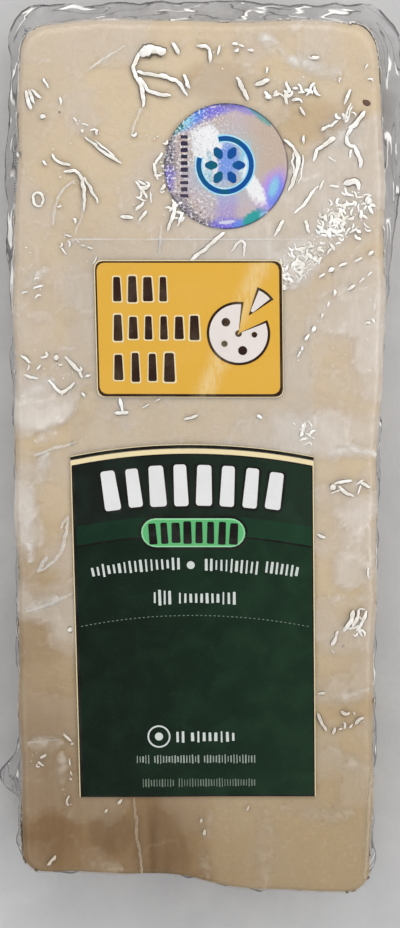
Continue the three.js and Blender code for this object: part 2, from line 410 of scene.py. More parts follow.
def slab_grid(cell, rows):
    """The block's skin in cells of about this size. rows gives each row's height and how
    far out along the seal margin it lies. Returns its points' facts and its faces."""
    xs = stations(HALF_WIDTH, 0, 0, round(2 * HALF_WIDTH / cell))
    ys = stations(HALF_LENGTH, CORNER_RADIUS, CORNER_STEPS, round(2 * HALF_LENGTH / cell))
    rows = np.array(rows)
    (i, j, k), faces = closed_box(len(xs) - 1, len(ys) - 1, len(rows) - 1)
    plain_x, plain_y, height, out = xs[i], ys[j], rows[k, 0], rows[k, 1]

    turn = np.clip((np.abs(plain_y) - HALF_LENGTH) / CORNER_RADIUS + 1, 0, 1)
    at_end = (j == 0) | (j == len(ys) - 1)
    at_side = (i == 0) | (i == len(xs) - 1)
    out_x = np.where(at_end, 0, np.sign(plain_x) * np.sqrt(1 - turn**2))
    out_y = np.where(at_end, 1, turn) * np.sign(plain_y)

    inset = pull_in(np.minimum(height, BLOCK_HEIGHT - height), EDGE_RADIUS)
    rounding = pull_in(HALF_LENGTH - np.abs(plain_y), CORNER_RADIUS)
    plain_x = plain_x * (HALF_WIDTH - inset - rounding) / HALF_WIDTH
    plain_y = plain_y * (HALF_LENGTH - inset) / HALF_LENGTH
    facts = {
        "x": plain_x,
        "y": plain_y,
        "height": height,
        "out": out,
        "out_x": out_x,
        "out_y": out_y,
        "side": (at_side | at_end).astype(float),
        "row": k,
    }
    return facts, faces


def bulge(plain_x, plain_y, z):
    """The swell of the four cut sides, which fades out inwards."""
    across, along = plain_x / HALF_WIDTH, plain_y / HALF_LENGTH
    push_x = np.sign(across) * np.abs(across) ** 6
    push_y = np.sign(along) * np.abs(along) ** 20
    return (
        push_x * side_bulge(plain_y + 7 * np.sign(across), z),
        push_y * side_bulge(plain_x + 3 * np.sign(along), z),
    )


# ------------------------ node trees


class Wire:
    """An output socket. Arithmetic on it adds Math nodes to its tree."""

    def __init__(self, tree, socket):
        self.tree, self.socket = tree, socket

    def _math(self, operation, *values):
        return self.tree.node("ShaderNodeMath", {"operation": operation}, dict(enumerate(values)))

    def __add__(self, other):
        return self._math("ADD", self, other)

    __radd__ = __add__

    def __sub__(self, other):
        return self._math("SUBTRACT", self, other)

    def __rsub__(self, other):
        return self._math("SUBTRACT", other, self)

    def __mul__(self, other):
        return self._math("MULTIPLY", self, other)

    __rmul__ = __mul__

    def __truediv__(self, other):
        return self._math("DIVIDE", self, other)

    def __rtruediv__(self, other):
        return self._math("DIVIDE", other, self)

    def __pow__(self, other):
        return self._math("POWER", self, other)

    def above(self, edge, soft):
        """0 under the edge and 1 over it, softly."""
        values = {"Value": self, "From Min": edge - soft, "From Max": edge + soft}
        return self.tree.node("ShaderNodeMapRange", {"interpolation_type": "SMOOTHSTEP"}, values)

    def least(self, other):
        return self._math("MINIMUM", self, other)

    def most(self, other):
        return self._math("MAXIMUM", self, other)

    def size(self):
        return self._math("ABSOLUTE", self)


class Tree:
    """A node tree to which nodes are added by type, settings and socket values."""

    def __init__(self, tree):
        self.tree = tree

    def node(self, kind, settings=None, values=None, output=0):
        """Adds a node. A socket takes a plain value, a wire, or a list of wires."""
        made = self.tree.nodes.new(kind)
        for name, value in (settings or {}).items():
            setattr(made, name, value)
        for key, value in (values or {}).items():
            socket = made.inputs[key]
            for one in value if isinstance(value, list) else [value]:
                if isinstance(one, Wire):
                    self.tree.links.new(one.socket, socket)
                else:
                    socket.default_value = one
        return Wire(self, made.outputs[output])


class MaterialTree(Tree):
    """A material with one Principled surface, patterned on Object coordinates in mm."""

    def __init__(self, name, centre=(0, 0, 0)):
        self.material = bpy.data.materials.new(name)
        self.material.use_nodes = True
        super().__init__(self.material.node_tree)
        self.surface = self.tree.nodes["Principled BSDF"]
        where = self.node("ShaderNodeTexCoord", output="Object")
        shift = tuple(-c for c in centre)
        values = {"Vector": where, "Location": shift, "Scale": (1 / MM,) * 3}
        self.place = self.node("ShaderNodeMapping", values=values)

    def axis(self, name):
        return self.node("ShaderNodeSeparateXYZ", values={0: self.place}, output=name)

    def painted(self, name):
        """A number painted on the piece's vertices."""
        return self.node("ShaderNodeAttribute", {"attribute_name": name}, output="Fac")

    def lumps(self, size, detail=2.0, stretch=(1, 1, 1), distortion=0.0, place=None):
        """Noise of about 0 to 1 whose lumps are this many millimetres across."""
        values = {"Vector": place or self.place, "Scale": stretch}
        place = self.node("ShaderNodeMapping", values=values)
        values = {"Vector": place, "Scale": 1 / size, "Detail": detail, "Distortion": distortion}
        return self.node("ShaderNodeTexNoise", values=values)

    def spots(self, places):
        """The strongest of several oval spots: 1 in the middle and softly 0 beyond. Each is
        a place, its half width and length, and how strong it is."""
        strongest = None
        for x, y, half_width, half_length, strength in places:
            across = (self.axis("X") - x) / half_width
            along = (self.axis("Y") - y) / half_length
            spot = strength * (1 - (across * across + along * along).above(0.7, 0.6))
            strongest = strongest.most(spot) if strongest else spot
        return strongest

    def mix(self, factor, first, second):
        """A colour between two others, each a wire or three numbers."""
        first, second = (c if isinstance(c, Wire) else (*c, 1) for c in (first, second))
        values = {0: factor, 6: first, 7: second}
        return self.node("ShaderNodeMix", {"data_type": "RGBA"}, values, 2)

    def bump(self, height, distance, strength=1.0):
        """The normal of a relief this many millimetres deep."""
        values = {"Height": height, "Distance": distance * MM, "Strength": strength}
        return self.node("ShaderNodeBump", values=values)

    def finish(self, **values):
        """Sets the surface's sockets, named with underscores for spaces."""
        for name, value in values.items():
            socket = self.surface.inputs[name.replace("_", " ")]
            if isinstance(value, Wire):
                self.tree.links.new(value.socket, socket)
            elif socket.type == "RGBA":
                socket.default_value = (*value, 1)
            else:
                socket.default_value = value
        return self.material


class ShapeTree(Tree):
    """A Geometry Nodes tree with named inputs."""

    KINDS = {int: "NodeSocketInt", float: "NodeSocketFloat"}

    def __init__(self, name, sizes):
        group = bpy.data.node_groups.new(name, "GeometryNodeTree")
        super().__init__(group)
        new = group.interface.new_socket
        new("Geometry", in_out="INPUT", socket_type="NodeSocketGeometry")
        new("Geometry", in_out="OUTPUT", socket_type="NodeSocketGeometry")
        self.sockets, self.defaults = {}, sizes
        kinds = {label: self.KINDS[type(value)] for label, value in sizes.items()}
        for label, kind in {**kinds, "Finish": "NodeSocketMaterial"}.items():
            self.sockets[label] = new(label, in_out="INPUT", socket_type=kind).identifier
        self.given = group.nodes.new("NodeGroupInput")

    def __getitem__(self, name):
        return Wire(self, self.given.outputs[name])

    def plate(self, outline, corner, steps):
        """A flat outline, its corners rounded, made into a closed plate as thick as Depth."""
        values = {"Curve": outline, "Count": steps, "Radius": corner, "Limit Radius": True}
        outline = self.node("GeometryNodeFilletCurve", {"mode": "POLY"}, values)
        face = self.node("GeometryNodeFillCurve", {"mode": "NGONS"}, {"Curve": outline})
        under = self.node("GeometryNodeFlipFaces", values={"Mesh": face})
        values = {"Mesh": face, "Offset Scale": self["Depth"], "Individual": False}
        upper = self.node("GeometryNodeExtrudeMesh", {"mode": "FACES"}, values)
        both = self.node("GeometryNodeJoinGeometry", values={0: [upper, under]})
        values = {"Geometry": both, "Distance": 1e-6}
        return self.node("GeometryNodeMergeByDistance", values=values)

    def close(self, geometry, smooth=True):
        """Ends the tree: instances made real, shading and the finish set."""
        real = self.node("GeometryNodeRealizeInstances", values={0: geometry})
        values = {"Geometry": real, "Shade Smooth": smooth}
        shaded = self.node("GeometryNodeSetShadeSmooth", values=values)
        values = {"Geometry": shaded, "Material": self["Finish"]}
        done = self.node("GeometryNodeSetMaterial", values=values)
        out = self.tree.nodes.new("NodeGroupOutput")
        self.tree.links.new(done.socket, out.inputs[0])

    def run(self, finish, base=None, **sizes):
        """Runs the tree with these sizes and returns the mesh it makes."""
        if base is None:
            base = bpy.data.objects.new("seed", bpy.data.meshes.new("seed"))
        bpy.context.scene.collection.objects.link(base)
        modifier = base.modifiers.new(self.tree.name, "NODES")
        modifier.node_group = self.tree
        for label, value in {**self.defaults, **sizes}.items():
            modifier[self.sockets[label]] = value
        modifier[self.sockets["Finish"]] = finish
        depsgraph = bpy.context.evaluated_depsgraph_get()
        mesh = bpy.data.meshes.new_from_object(base.evaluated_get(depsgraph))
        base.modifiers.remove(modifier)
        bpy.data.objects.remove(base)
        return mesh


# ------------------------ finishes


def display(red, green, blue):
    """A colour as a screen shows it, 0 to 255, turned into amounts of light."""
    return tuple(((c / 255 + 0.055) / 1.055) ** 2.4 for c in (red, green, blue))


CRYSTAL_SPACING = 3.1

# Spots of painted shade, then tan patches of the paste: each a place, half width, half length and
# strength.
DEEP_SHADE_SPOTS = (
    (-26.8, -67.5, 5.5, 5, 0.3),
    (-7.5, -70, 6.5, 11, 1),
    (-16, -67, 5, 5, 1),
)
TAN_PATCHES = (
    (19.5, 62, 8, 4.5, 1),
    (3, 69, 7, 4, 1),
    (27.5, -43, 6, 4, 1),
)


def cheese_paste(look):
    """Hard cheese: waxy, in uneven tan and pale patches, with a fine grain. It is paler towards its
    far end, partly its own tone and partly painted light, and painted shade darkens its near left
    corner."""
    paste = MaterialTree("cheese_paste")
    across, along = paste.axis("X"), paste.axis("Y")
    patches = paste.lumps(26, 3, (1, 0.7, 1), 0.5).above(0.5, 0.16)
    veins = paste.lumps(7, 4, (1, 1.4, 1), 1.2).above(0.53, 0.12)
    bands = paste.lumps(10, 3, (1.6, 0.4, 1), 0.6).above(0.5, 0.22)
    grain = paste.lumps(0.9, 3)
    values = {"Vector": paste.place, "Scale": 1 / CRYSTAL_SPACING}
    crystals = paste.node("ShaderNodeTexVoronoi", values=values, output="Distance")

    # Paler towards the far end: partly the paste's own tone, partly painted light.
    towards_far = (along + 10 * patches).above(-24, 46)
    tan = paste.spots(TAN_PATCHES)
    # Painted shade of the near left corner: less right of a wandering line, deepest in a few spots.
    down_the_side = 1 - paste.axis("Z").above(13, 5)
    wander = (6 + 10 * down_the_side) * (paste.lumps(9, 3) - 0.5)
    right_of_it = (across + 3 * patches + wander).above(2.5, 2 + 4 * down_the_side)
    aged = 1 - (along + 0.9 * across + 12 * patches).above(-50, 30)
    aged = aged * (1 - 0.48 * right_of_it)
    deep_shaded = paste.spots(DEEP_SHADE_SPOTS) * (0.5 + 0.5 * bands) * (1 - 0.7 * down_the_side)
    unshaded = 1 - aged

    colour = paste.mix(towards_far, look.paste, look.pale)
    rind = (0.35 * (1 - patches) * (0.4 + 0.6 * veins)).most(0.55 * tan)
    colour = paste.mix(rind, colour, look.rind)
    colour = paste.mix(aged * (0.56 + 0.16 * bands), colour, look.aged)
    colour = paste.mix(0.45 * deep_shaded, colour, look.bruise)
    pale_specks = 0.1 * (1 - crystals.above(0.1, 0.03)) + 0.1 * grain.above(0.62, 0.1)
    colour = paste.mix(pale_specks * unshaded, colour, look.crystal)
    colour = paste.mix(0.16 * unshaded * grain.above(0.6, 0.12), colour, look.rind)
    return paste.finish(
        Base_Color=colour,
        Roughness=0.42 + 0.2 * grain,
        Normal=paste.bump(grain * 0.5 + veins * 0.5, 0.12),
        Subsurface_Weight=0.12,
        Subsurface_Radius=(0.004, 0.003, 0.0015),
        Subsurface_Scale=0.6,
        Specular_IOR_Level=0.2,
    )


def fleck_crust(look):
    """A small dark fleck on the cheese."""
    crust = MaterialTree("fleck_crust")
    tone = crust.lumps(0.4, 3).above(0.5, 0.2)
    return crust.finish(
        Base_Color=crust.mix(0.12 * tone, look.fleck, look.rind),
        Roughness=0.4 + 0.2 * tone,
        Normal=crust.bump(tone, 0.1),
    )


def see_through(tree, gloss, haze, tint, roughness, **values):
    """Film that shows what is under it: gloss mirrors the lamps and haze whitens."""
    cover = gloss + haze
    return tree.finish(
        Base_Color=tint,
        Alpha=cover.least(1),
        Metallic=gloss / cover,
        Roughness=roughness,
        **values,
    )


def along_the_film(film, look):
    """From 0 at the near end to 1 further on, and the film's milky colour there, which painted
    shade darkens towards the near end.
    """
    towards_far = film.axis("Y").above(-34, 42)
    return towards_far, film.mix(towards_far, look.near_cloud, look.cloud)


def clear_film(look):
    """Vacuum film: clear where it clings, milky where it stands off, and grey on its seal margin,
    with painted bright and dark lines where that crumples, a dark painted rim, and a crimped seal on
    the left."""
    film = MaterialTree("clear_film")
    towards_far, cloud = along_the_film(film, look)
    margin = film.painted("margin")
    on_margin = margin.above(0.12, 0.08)
    clouds = film.lumps(8, 4, (1.2, 1, 1), 0.8)
    wisps = film.lumps(3.4, 4, (1, 0.5, 1), 1.6).above(0.56, 0.1)
    strokes = film.lumps(2.2, 3, (1.8, 0.35, 1), 1.2).above(0.6, 0.06)
    edges = film.painted("facet_edge") * film.lumps(4, 2).above(0.52, 0.08)
    # Milky haze: partly the film standing off, partly painted reflection, with pale lines along
    # facet edges.
    milky = (film.painted("milkiness") - 0.07).most(0) * (0.7 + 0.6 * clouds)
    milky = milky + 0.05 * wisps + 0.05 * strokes + 0.2 * edges
    # Painted shade: the milkiness dims towards the near end.
    haze = look.haze * (0.45 + 0.55 * towards_far) * milky * (1 - on_margin)

    # The margin's painted glints and shadow lines run round the block, and out across the margin.
    values = {"X": film.painted("around"), "Y": film.painted("beyond")}
    spot = film.node("ShaderNodeCombineXYZ", values=values)
    # Painted shade: a broken dark line along the margin's rim.
    rim = margin.above(0.93, 0.04) * film.lumps(3, 2).above(0.42, 0.1)
    ridge = film.lumps(1, 1, (0.1, 0.7, 1), 0.3, spot) - 0.5
    broken = film.lumps(1, 1, (0.14, 0.3, 1), 0.0, spot).above(0.52, 0.04) * on_margin
    glint = (1 - (ridge - 0.025).size().above(0.028, 0.012)) * broken * (1 - rim)
    shadow = (1 - (ridge + 0.02).size().above(0.012, 0.008)) * on_margin * (1 - glint)
    turn = film.axis("Y") * (2 * math.pi / CRIMP_PITCH)
    crimp = film.node("ShaderNodeMath", {"operation": "SINE"}, {0: turn}).above(0, 0.4)
    crimp = crimp * (1 - (margin - 0.3).size().above(0.06, 0.03))
    crimp = crimp * (1 - film.axis("X").above(-30.5, 0.5)) * (1 - glint)

    haze = haze + on_margin * look.margin_haze
    haze = haze + 0.4 * rim + 0.8 * glint + 0.28 * shadow + 0.25 * crimp
    facing = film.node("ShaderNodeLayerWeight", values={"Blend": 0.3}, output="Facing")
    gloss = look.gloss * (0.4 + 0.6 * clouds) + 0.02 * facing**2 * (1 - on_margin)
    tint = film.mix(on_margin, cloud, look.margin)
    tint = film.mix(glint, tint, look.glint)
    tint = film.mix(rim.most(crimp).most(shadow), tint, look.rim)
    ripples = film.bump(film.lumps(3.4, 3, (1, 1, 1), 0.8) + 0.4 * film.lumps(0.9, 2), 0.2)
    return see_through(film, gloss, haze, tint, 0.18 + 0.1 * clouds, Normal=ripples)


def folded_film(name, look, least, most, edge, soft):
    """Film pinched into a fold: white along its crest, a painted highlight, between clearer flanks
    darkened by painted shade.
    least and most say how much of what is under it the flanks and the crest hide, and
    edge and soft where the one turns into the other, as shares of the fold's height."""
    fold = MaterialTree(name)
    crest = fold.painted("crest").above(edge, soft)
    streaks = fold.lumps(0.9, 2).above(0.42, 0.12)
    dull = fold.lumps(3, 2).above(0.5, 0.08)
    towards_far, cloud = along_the_film(fold, look)
    # Painted shade: towards the near end the fold's painted highlight dims and turns to the darker
    # cloud.
    clear = (0.8 + 0.2 * streaks) * (1 - 0.2 * dull) * (0.65 + 0.35 * towards_far)
    haze = least + crest * (most - least) * clear
    bright = fold.mix(0.4 * dull + 0.2 * streaks, look.glint, look.cream)
    bright = fold.mix(0.8 * (1 - towards_far), bright, cloud)
    tint = fold.mix(crest, look.flank_shade, bright)
    ripples = fold.bump(fold.lumps(0.8, 2), 0.08)
    return see_through(fold, look.fold_gloss, haze, tint, 0.2 + 0.1 * streaks, Normal=ripples)


def swelled_film(look):
    """A broad, soft fold, which a painted sheen whitens towards its middle; it has no edge."""
    fold = MaterialTree("swelled_film")
    crest = fold.painted("crest").above(0.5, 0.5)
    clouds = fold.lumps(3.4, 3, (1, 1, 1), 0.6).above(0.5, 0.2)
    towards_far, cloud = along_the_film(fold, look)
    # Painted sheen, dimmer and greyer towards the near end as painted shade.
    haze = look.swell_haze * crest * (0.2 + 1.2 * clouds) * (0.85 + 0.15 * towards_far)
    tint = fold.mix(0.75 * towards_far, cloud, look.glint)
    ripples = fold.bump(fold.lumps(3.4, 3), 0.1)
    return see_through(fold, 0.05 * haze, haze, tint, 0.3 + 0.1 * clouds, Normal=ripples)


def label_film(look):
    """The label's unprinted film, almost unseen but for a painted highlight on the edge of its far
    end.
    """
    sheet = MaterialTree("label_film")
    smears = sheet.lumps(9, 3, (1, 0.6, 1), 0.6).above(0.5, 0.15)
    # Painted highlight: a broken pale line along the film's edge.
    rim = (1 - sheet.painted("inside").above(0.1, 0.05)) * sheet.lumps(7, 2).above(0.42, 0.12)
    haze = 0.02 + 0.03 * smears + 0.32 * rim
    roughness, relief = 0.18 + 0.08 * smears, sheet.bump(smears, 0.05)
    return see_through(sheet, look.sheet_gloss, haze, look.sheet, roughness, Normal=relief)


def print_ink(name, colour, worn, wear=0.1, lit=0.0, streak_glare=0.0):
    """Ink on the label, with faint wear. It turns to the worn colour in specks and clouds by wear,
    towards the right by a painted sheen, and along a line across the badge by a painted reflection."""
    ink = MaterialTree(name)
    mottle = ink.lumps(5, 3, (1, 1, 1), 0.5)
    specks = ink.lumps(0.5, 2).above(0.66, 0.05)
    amount = wear * (0.4 * specks + 0.6 * mottle.above(0.55, 0.15))
    # Painted sheen towards the right.
    if lit:
        amount = amount + lit * ink.axis("X").above(2, 26) * (0.6 + 0.8 * mottle)
    # Painted reflection: a streak along a line across the badge.
    if streak_glare:
        away = (0.92 * ink.axis("X") - 0.4 * ink.axis("Y") + 5.1).size()
        streaks = ink.lumps(1.5, 3, (2.2, 0.5, 1), 0.8).above(0.48, 0.1)
        amount = amount + streak_glare * (1 - away.above(1.4, 1.5)) * (0.3 + 0.7 * streaks)
    return ink.finish(
        Base_Color=ink.mix(amount, colour, worn),
        Roughness=0.36 + 0.15 * mottle,
        Normal=ink.bump(mottle + 0.3 * specks, 0.05),
        Specular_IOR_Level=0.18,
    )


# Where the foil's painted sheen and glare show: a colour, the middle of the patch from the
# sticker's own, its half width and height, its lean in degrees, and how strong it is.
SHEEN = (
    ("slate", -10.2, 2.6, 1.5, 4.6, 6, 0.8),
    ("violet", -10.2, -2.6, 1.2, 2.6, -8, 0.7),
    ("slate", -7.7, -7.4, 3.8, 1.5, -42, 0.75),
    ("slate", -3.6, -9.9, 2.4, 0.9, -14, 0.6),
    ("warm", 7.2, 3.2, 4.4, 5.4, 0, 0.95),
    ("violet", -2.4, 9.9, 4.4, 1.5, 16, 0.95),
    ("slate", 1.0, 10.6, 3.2, 0.6, -6, 0.7),
    ("violet", 3.4, 9.9, 3.2, 0.9, -18, 0.6),
    ("blue", -6.3, 8.6, 3.2, 1.7, 38, 1.0),
    ("cyan", -7.2, 7.6, 1.6, 1.1, 44, 0.95),
    ("green", -8.5, 6.7, 1.3, 1.0, 50, 0.9),
    ("green", 6.0, 8.9, 3.2, 0.9, -38, 0.7),
    ("lilac", 0.2, -7.0, 1.7, 3.4, 0, 0.8),
    ("violet", 0.2, -10.3, 2.9, 1.4, 4, 1.0),
    ("blue", 2.7, -10.1, 1.6, 1.0, 10, 0.8),
    ("green", 5.1, -8.8, 2.6, 1.1, 32, 1.0),
    ("cyan", 6.5, -8.4, 0.8, 0.5, 32, 0.8),
    ("orchid", 8.6, -4.4, 2.7, 3.6, -22, 1.0),
    ("blue", 8.6, -4.6, 1.3, 2.8, -16, 0.75),
    ("cyan", 8.3, -3.6, 0.8, 1.8, -16, 0.8),
    ("cyan", -0.3, 0.2, 5.6, 5.6, 0, 0.35),
    ("blue", 0.1, 1.0, 2.0, 3.4, 0, 0.8),
    ("cyan", 3.4, 1.0, 1.0, 2.7, -4, 0.8),
    ("cyan", -3.2, 0.4, 0.9, 2.6, 4, 0.7),
    ("glare", -2.9, 4.6, 2.1, 2.4, 40, 1.0),
    ("glare", -4.6, 2.6, 1.3, 3.6, 24, 0.9),
    ("glare", -2.0, 0.6, 0.6, 2.4, 4, 0.75),
    ("glare", 3.6, 0.4, 0.6, 2.2, -6, 0.6),
    ("glare", 4.9, -3.6, 1.3, 3.4, 30, 1.0),
    ("glare", 7.6, -8.2, 0.7, 0.5, 30, 1.0),
    ("glare", 0.2, -9.6, 1.4, 0.35, 6, 0.7),
)


def diffraction_foil(look):
    """Silver foil: the patches of blue, violet and green its fine ruling throws are painted sheen.
    """
    foil = MaterialTree("diffraction_foil", DISC_CENTRE)
    across, along = foil.axis("X"), foil.axis("Y")
    lumps = foil.lumps(4, 3, (1, 1, 0), 0.6)
    fine = foil.lumps(0.7, 2, (1, 1, 0))
    ragged = 1.3 * (lumps - 0.5) + 0.9 * (fine - 0.5)
    sparkle = foil.lumps(0.45, 2, (1, 1, 0)).above(0.58, 0.07)
    to_left = 1 - across.above(-0.5, 4)
    colour = foil.mix(lumps.above(0.5, 0.2) * 0.7, look.silver, look.warm)
    for name, u, v, half_width, half_height, lean, amount in SHEEN:
        a, b = leaned(across - u, along - v, -lean)
        a, b = a / half_width, b / half_height
        crisp = name in ("glare", "green")
        past = (a * a + b * b) ** 0.5 + (1 if crisp else 0.5) * ragged
        patch = 1 - past.above(1, 0.25 if crisp else 0.5)
        colour = foil.mix(patch * amount, colour, getattr(look, name))
    pits = foil.lumps(0.45, 2, (1.2, 1, 0), 0.5).above(0.6, 0.05) * to_left
    away = (across * across + along * along) ** 0.5
    rim = away.above(8.4, 2.2)
    colour = foil.mix(pits * (0.25 + 0.6 * rim), colour, look.tick)
    cut = away.above(DISC_RADIUS - 0.22, 0.12)
    colour = foil.mix(0.75 * cut * lumps.above(0.38, 0.1), colour, look.tick)
    # Painted glitter: white sparkle, mostly on the left half.
    colour = foil.mix(sparkle * to_left * lumps.above(0.4, 0.12) * 0.8, colour, look.glare)
    return foil.finish(
        Base_Color=colour,
        Metallic=0.25 + 0.2 * lumps,
        Roughness=0.3 + 0.15 * lumps,
        Normal=foil.bump(lumps + 0.2 * sparkle, 0.08),
        Coat_Weight=0.2,
        Coat_Roughness=0.12,
    )


def studio_floor(look):
    """A pale, faintly mottled table top."""
    floor = MaterialTree("studio_floor")
    mottle = floor.lumps(14, 4, (1, 1, 0), 0.6).above(0.5, 0.25)
    fine = floor.lumps(1.6, 3, (1, 1, 0))
    return floor.finish(
        Base_Color=floor.mix(0.6 * mottle + 0.2 * fine, look.floor, look.floor_shade),
        Roughness=0.55 + 0.2 * fine,
        Normal=floor.bump(fine, 0.08),
        Specular_IOR_Level=0.3,
    )


# ------------------------ shape trees


def fold_tree():
    """Folds of film: a flat-topped ridge along each line, pinched out at its ends. The
    scales of its noise are per metre."""
    lengths = {"Flank": 0.42 * MM, "Rise": 0.22 * MM, "Step": 0.3 * MM, "Wander": 0.2 * MM}
    tree = ShapeTree("film_folds", {**lengths, "Crown": 1.1})
    node, given = tree.node, tree.__getitem__
    line = node("GeometryNodeMeshToCurve", values={"Mesh": given("Geometry")})
    values = {"Curve": line, "Length": given("Step")}
    line = node("GeometryNodeResampleCurve", {"mode": "LENGTH"}, values)
    spot = node("GeometryNodeInputPosition")
    values = {"Vector": spot, "Scale": 650, "Detail": 2}
    waves = node("ShaderNodeTexNoise", values=values, output=1)
    drift = node("ShaderNodeVectorMath", {"operation": "SUBTRACT"}, {0: waves, 1: (0.5,) * 3})
    drift = node("ShaderNodeVectorMath", {"operation": "MULTIPLY"}, {0: drift, 1: (1, 1, 0)})
    values = {0: drift, "Scale": given("Wander") * 4}
    drift = node("ShaderNodeVectorMath", {"operation": "SCALE"}, values)
    line = node("GeometryNodeSetPosition", values={"Geometry": line, "Offset": drift})
    line = node("GeometryNodeSetCurveNormal", {"mode": "Z_UP"}, {"Curve": line})

    along = node("GeometryNodeSplineParameter")
    pinch = (4 * along * (1 - along)).most(0.001) ** 0.2
    uneven = node("ShaderNodeTexNoise", values={"Vector": spot, "Scale": 900, "Detail": 1})
    wide = node("GeometryNodeInputNamedAttribute", {"data_type": "FLOAT"}, {"Name": "wide"})
    flank = given("Flank")
    sides = {"Bottom Width": 2 * flank, "Top Width": given("Crown") * flank}
    values = {**sides, "Height": given("Rise"), "Offset": 0.1 * flank}
    tent = node("GeometryNodeCurvePrimitiveQuadrilateral", {"mode": "TRAPEZOID"}, values)
    tent = node("GeometryNodeTransform", values={"Geometry": tent, "Rotation": (0, 0, math.pi)})
    scale = wide * (0.1 + 0.9 * pinch) * (0.35 + 1.3 * uneven)
    values = {"Curve": line, "Profile Curve": tent, "Scale": scale, "Fill Caps": True}
    tree.close(node("GeometryNodeCurveToMesh", values=values), smooth=False)
    return tree


def mark_tree():
    """A row of plain upright marks, slightly uneven, that can follow an arch."""
    lengths = {"Pitch": 1.0 * MM, "Width": 0.5 * MM, "Height": 1.5 * MM, "Arch": 1.0}
    numbers = {"Count": 6, "Top": 0.85, "Uneven": 0.2, "Seed": 1}
    tree = ShapeTree("mark_row", {**lengths, **numbers, "Depth": INK_THICKNESS * MM})
    node, given = tree.node, tree.__getitem__
    pitch, width, arch, uneven = map(given, ("Pitch", "Width", "Arch", "Uneven"))
    start = node("ShaderNodeCombineXYZ", values={"X": (1 - given("Count")) * pitch * 0.5})
    step = node("ShaderNodeCombineXYZ", values={"X": pitch})
    values = {"Count": given("Count"), "Start Location": start, "Offset": step}
    row = node("GeometryNodeMeshLine", {"mode": "OFFSET"}, values)
    spot = node("GeometryNodeInputPosition")
    reach = node("ShaderNodeSeparateXYZ", values={0: spot}, output="X")
    drop = node("ShaderNodeCombineXYZ", values={"Y": reach * reach / arch * -0.5})
    row = node("GeometryNodeSetPosition", values={"Geometry": row, "Offset": drop})

    sides = {"Bottom Width": width, "Top Width": width * given("Top")}
    values = {**sides, "Height": given("Height"), "Offset": 0.0}
    outline = node("GeometryNodeCurvePrimitiveQuadrilateral", {"mode": "TRAPEZOID"}, values)
    mark = tree.plate(outline, width * 0.18, 3)

    def draw(offset):
        """A number from -1 to 1 for each mark."""
        values = {2: -1.0, 3: 1.0, "Seed": given("Seed") + offset}
        return node("FunctionNodeRandomValue", {"data_type": "FLOAT"}, values, 1)

    values = {"X": 1 + draw(0) * uneven * 1.6, "Y": 1 + draw(7) * uneven, "Z": 1.0}
    size = node("ShaderNodeCombineXYZ", values=values)
    turn = node("ShaderNodeCombineXYZ", values={"Z": draw(19) * uneven * 0.12 - reach / arch})
    values = {"Points": row, "Instance": mark, "Rotation": turn, "Scale": size}
    tree.close(node("GeometryNodeInstanceOnPoints", values=values))
    return tree


def petal_tree():
    """Flat petals spread round a centre."""
    lengths = {"Ring": 2.4 * MM, "Length": 3.6 * MM, "Width": 1.7 * MM}
    tree = ShapeTree("rosette", {"Petals": 6, **lengths, "Depth": INK_THICKNESS * MM})
    node, given = tree.node, tree.__getitem__
    values = {"Vertices": given("Petals"), "Radius": given("Ring")}
    ring = node("GeometryNodeMeshCircle", values=values)
    half_length, width = given("Length") * 0.5, given("Width")
    values = {"Width": width, "Bottom Height": half_length, "Top Height": half_length}
    outline = node("GeometryNodeCurvePrimitiveQuadrilateral", {"mode": "KITE"}, values)
    petal = tree.plate(outline, width * 0.3, 4)
    values = {"Vector": node("GeometryNodeInputPosition")}
    settings = {"axis": "Y", "pivot_axis": "Z"}
    facing = node("FunctionNodeAlignRotationToVector", settings, values)
    values = {"Points": ring, "Instance": petal, "Rotation": facing}
    tree.close(node("GeometryNodeInstanceOnPoints", values=values))
    return tree


# ------------------------ laying things on


def on_label(u, v):
    """A place on the label, from its middle and along its own axes, in the frame."""
    return LABEL_CENTRE[0] + u - LABEL_LEAN * v, LABEL_CENTRE[1] + v


def lay(x, y, rise, level=None):
    """Points that follow the pack's top. A level counts printed layers on a sheet."""
    z = sheet_height(x, y) + rise
    if level is not None:
        z = z + SHEET_THICKNESS + 0.01 + level * INK_STEP
    return np.stack([x, y, z], 1)


def arch(height, radius=ARCH_RADIUS):
    """A line across the label that is this high in the middle and falls to each side."""
    return lambda u: height - u**2 / (2 * radius)


def field(name, left, right, low, high, level, ink, cell=1.6):
    """A printed field: from left to right, and between two lines across the label."""
    middle = np.array([(left + right) / 2])
    across = max(2, round((right - left) / cell))
    along = max(1, round(float(high(middle)[0] - low(middle)[0]) / cell))
    (i, j, k), faces = closed_box(across, along, 1)
    u = left + (right - left) * i / across
    v = low(u) + (high(u) - low(u)) * j / along
    return add_piece(name, lay(*on_label(u, v), k * INK_THICKNESS, level), faces, ink)


def rounded(name, centre, half_width, half_height, corner, level, ink, cell=1.2):
    """A printed rectangle with round corners, or a pill where corner is half_height."""
    across = max(6, round(2 * half_width / cell))
    along = 2 * max(5, round(half_height / cell))
    (i, j, k), faces = closed_box(across, along, 1)
    v = half_height * np.sin((j / along - 0.5) * np.pi)
    reach = half_width - pull_in(half_height - np.abs(v), corner)
    u = centre[0] + reach * (2 * i / across - 1)
    return add_piece(
        name, lay(*on_label(u, v + centre[1]), k * INK_THICKNESS, level), faces, ink
    )


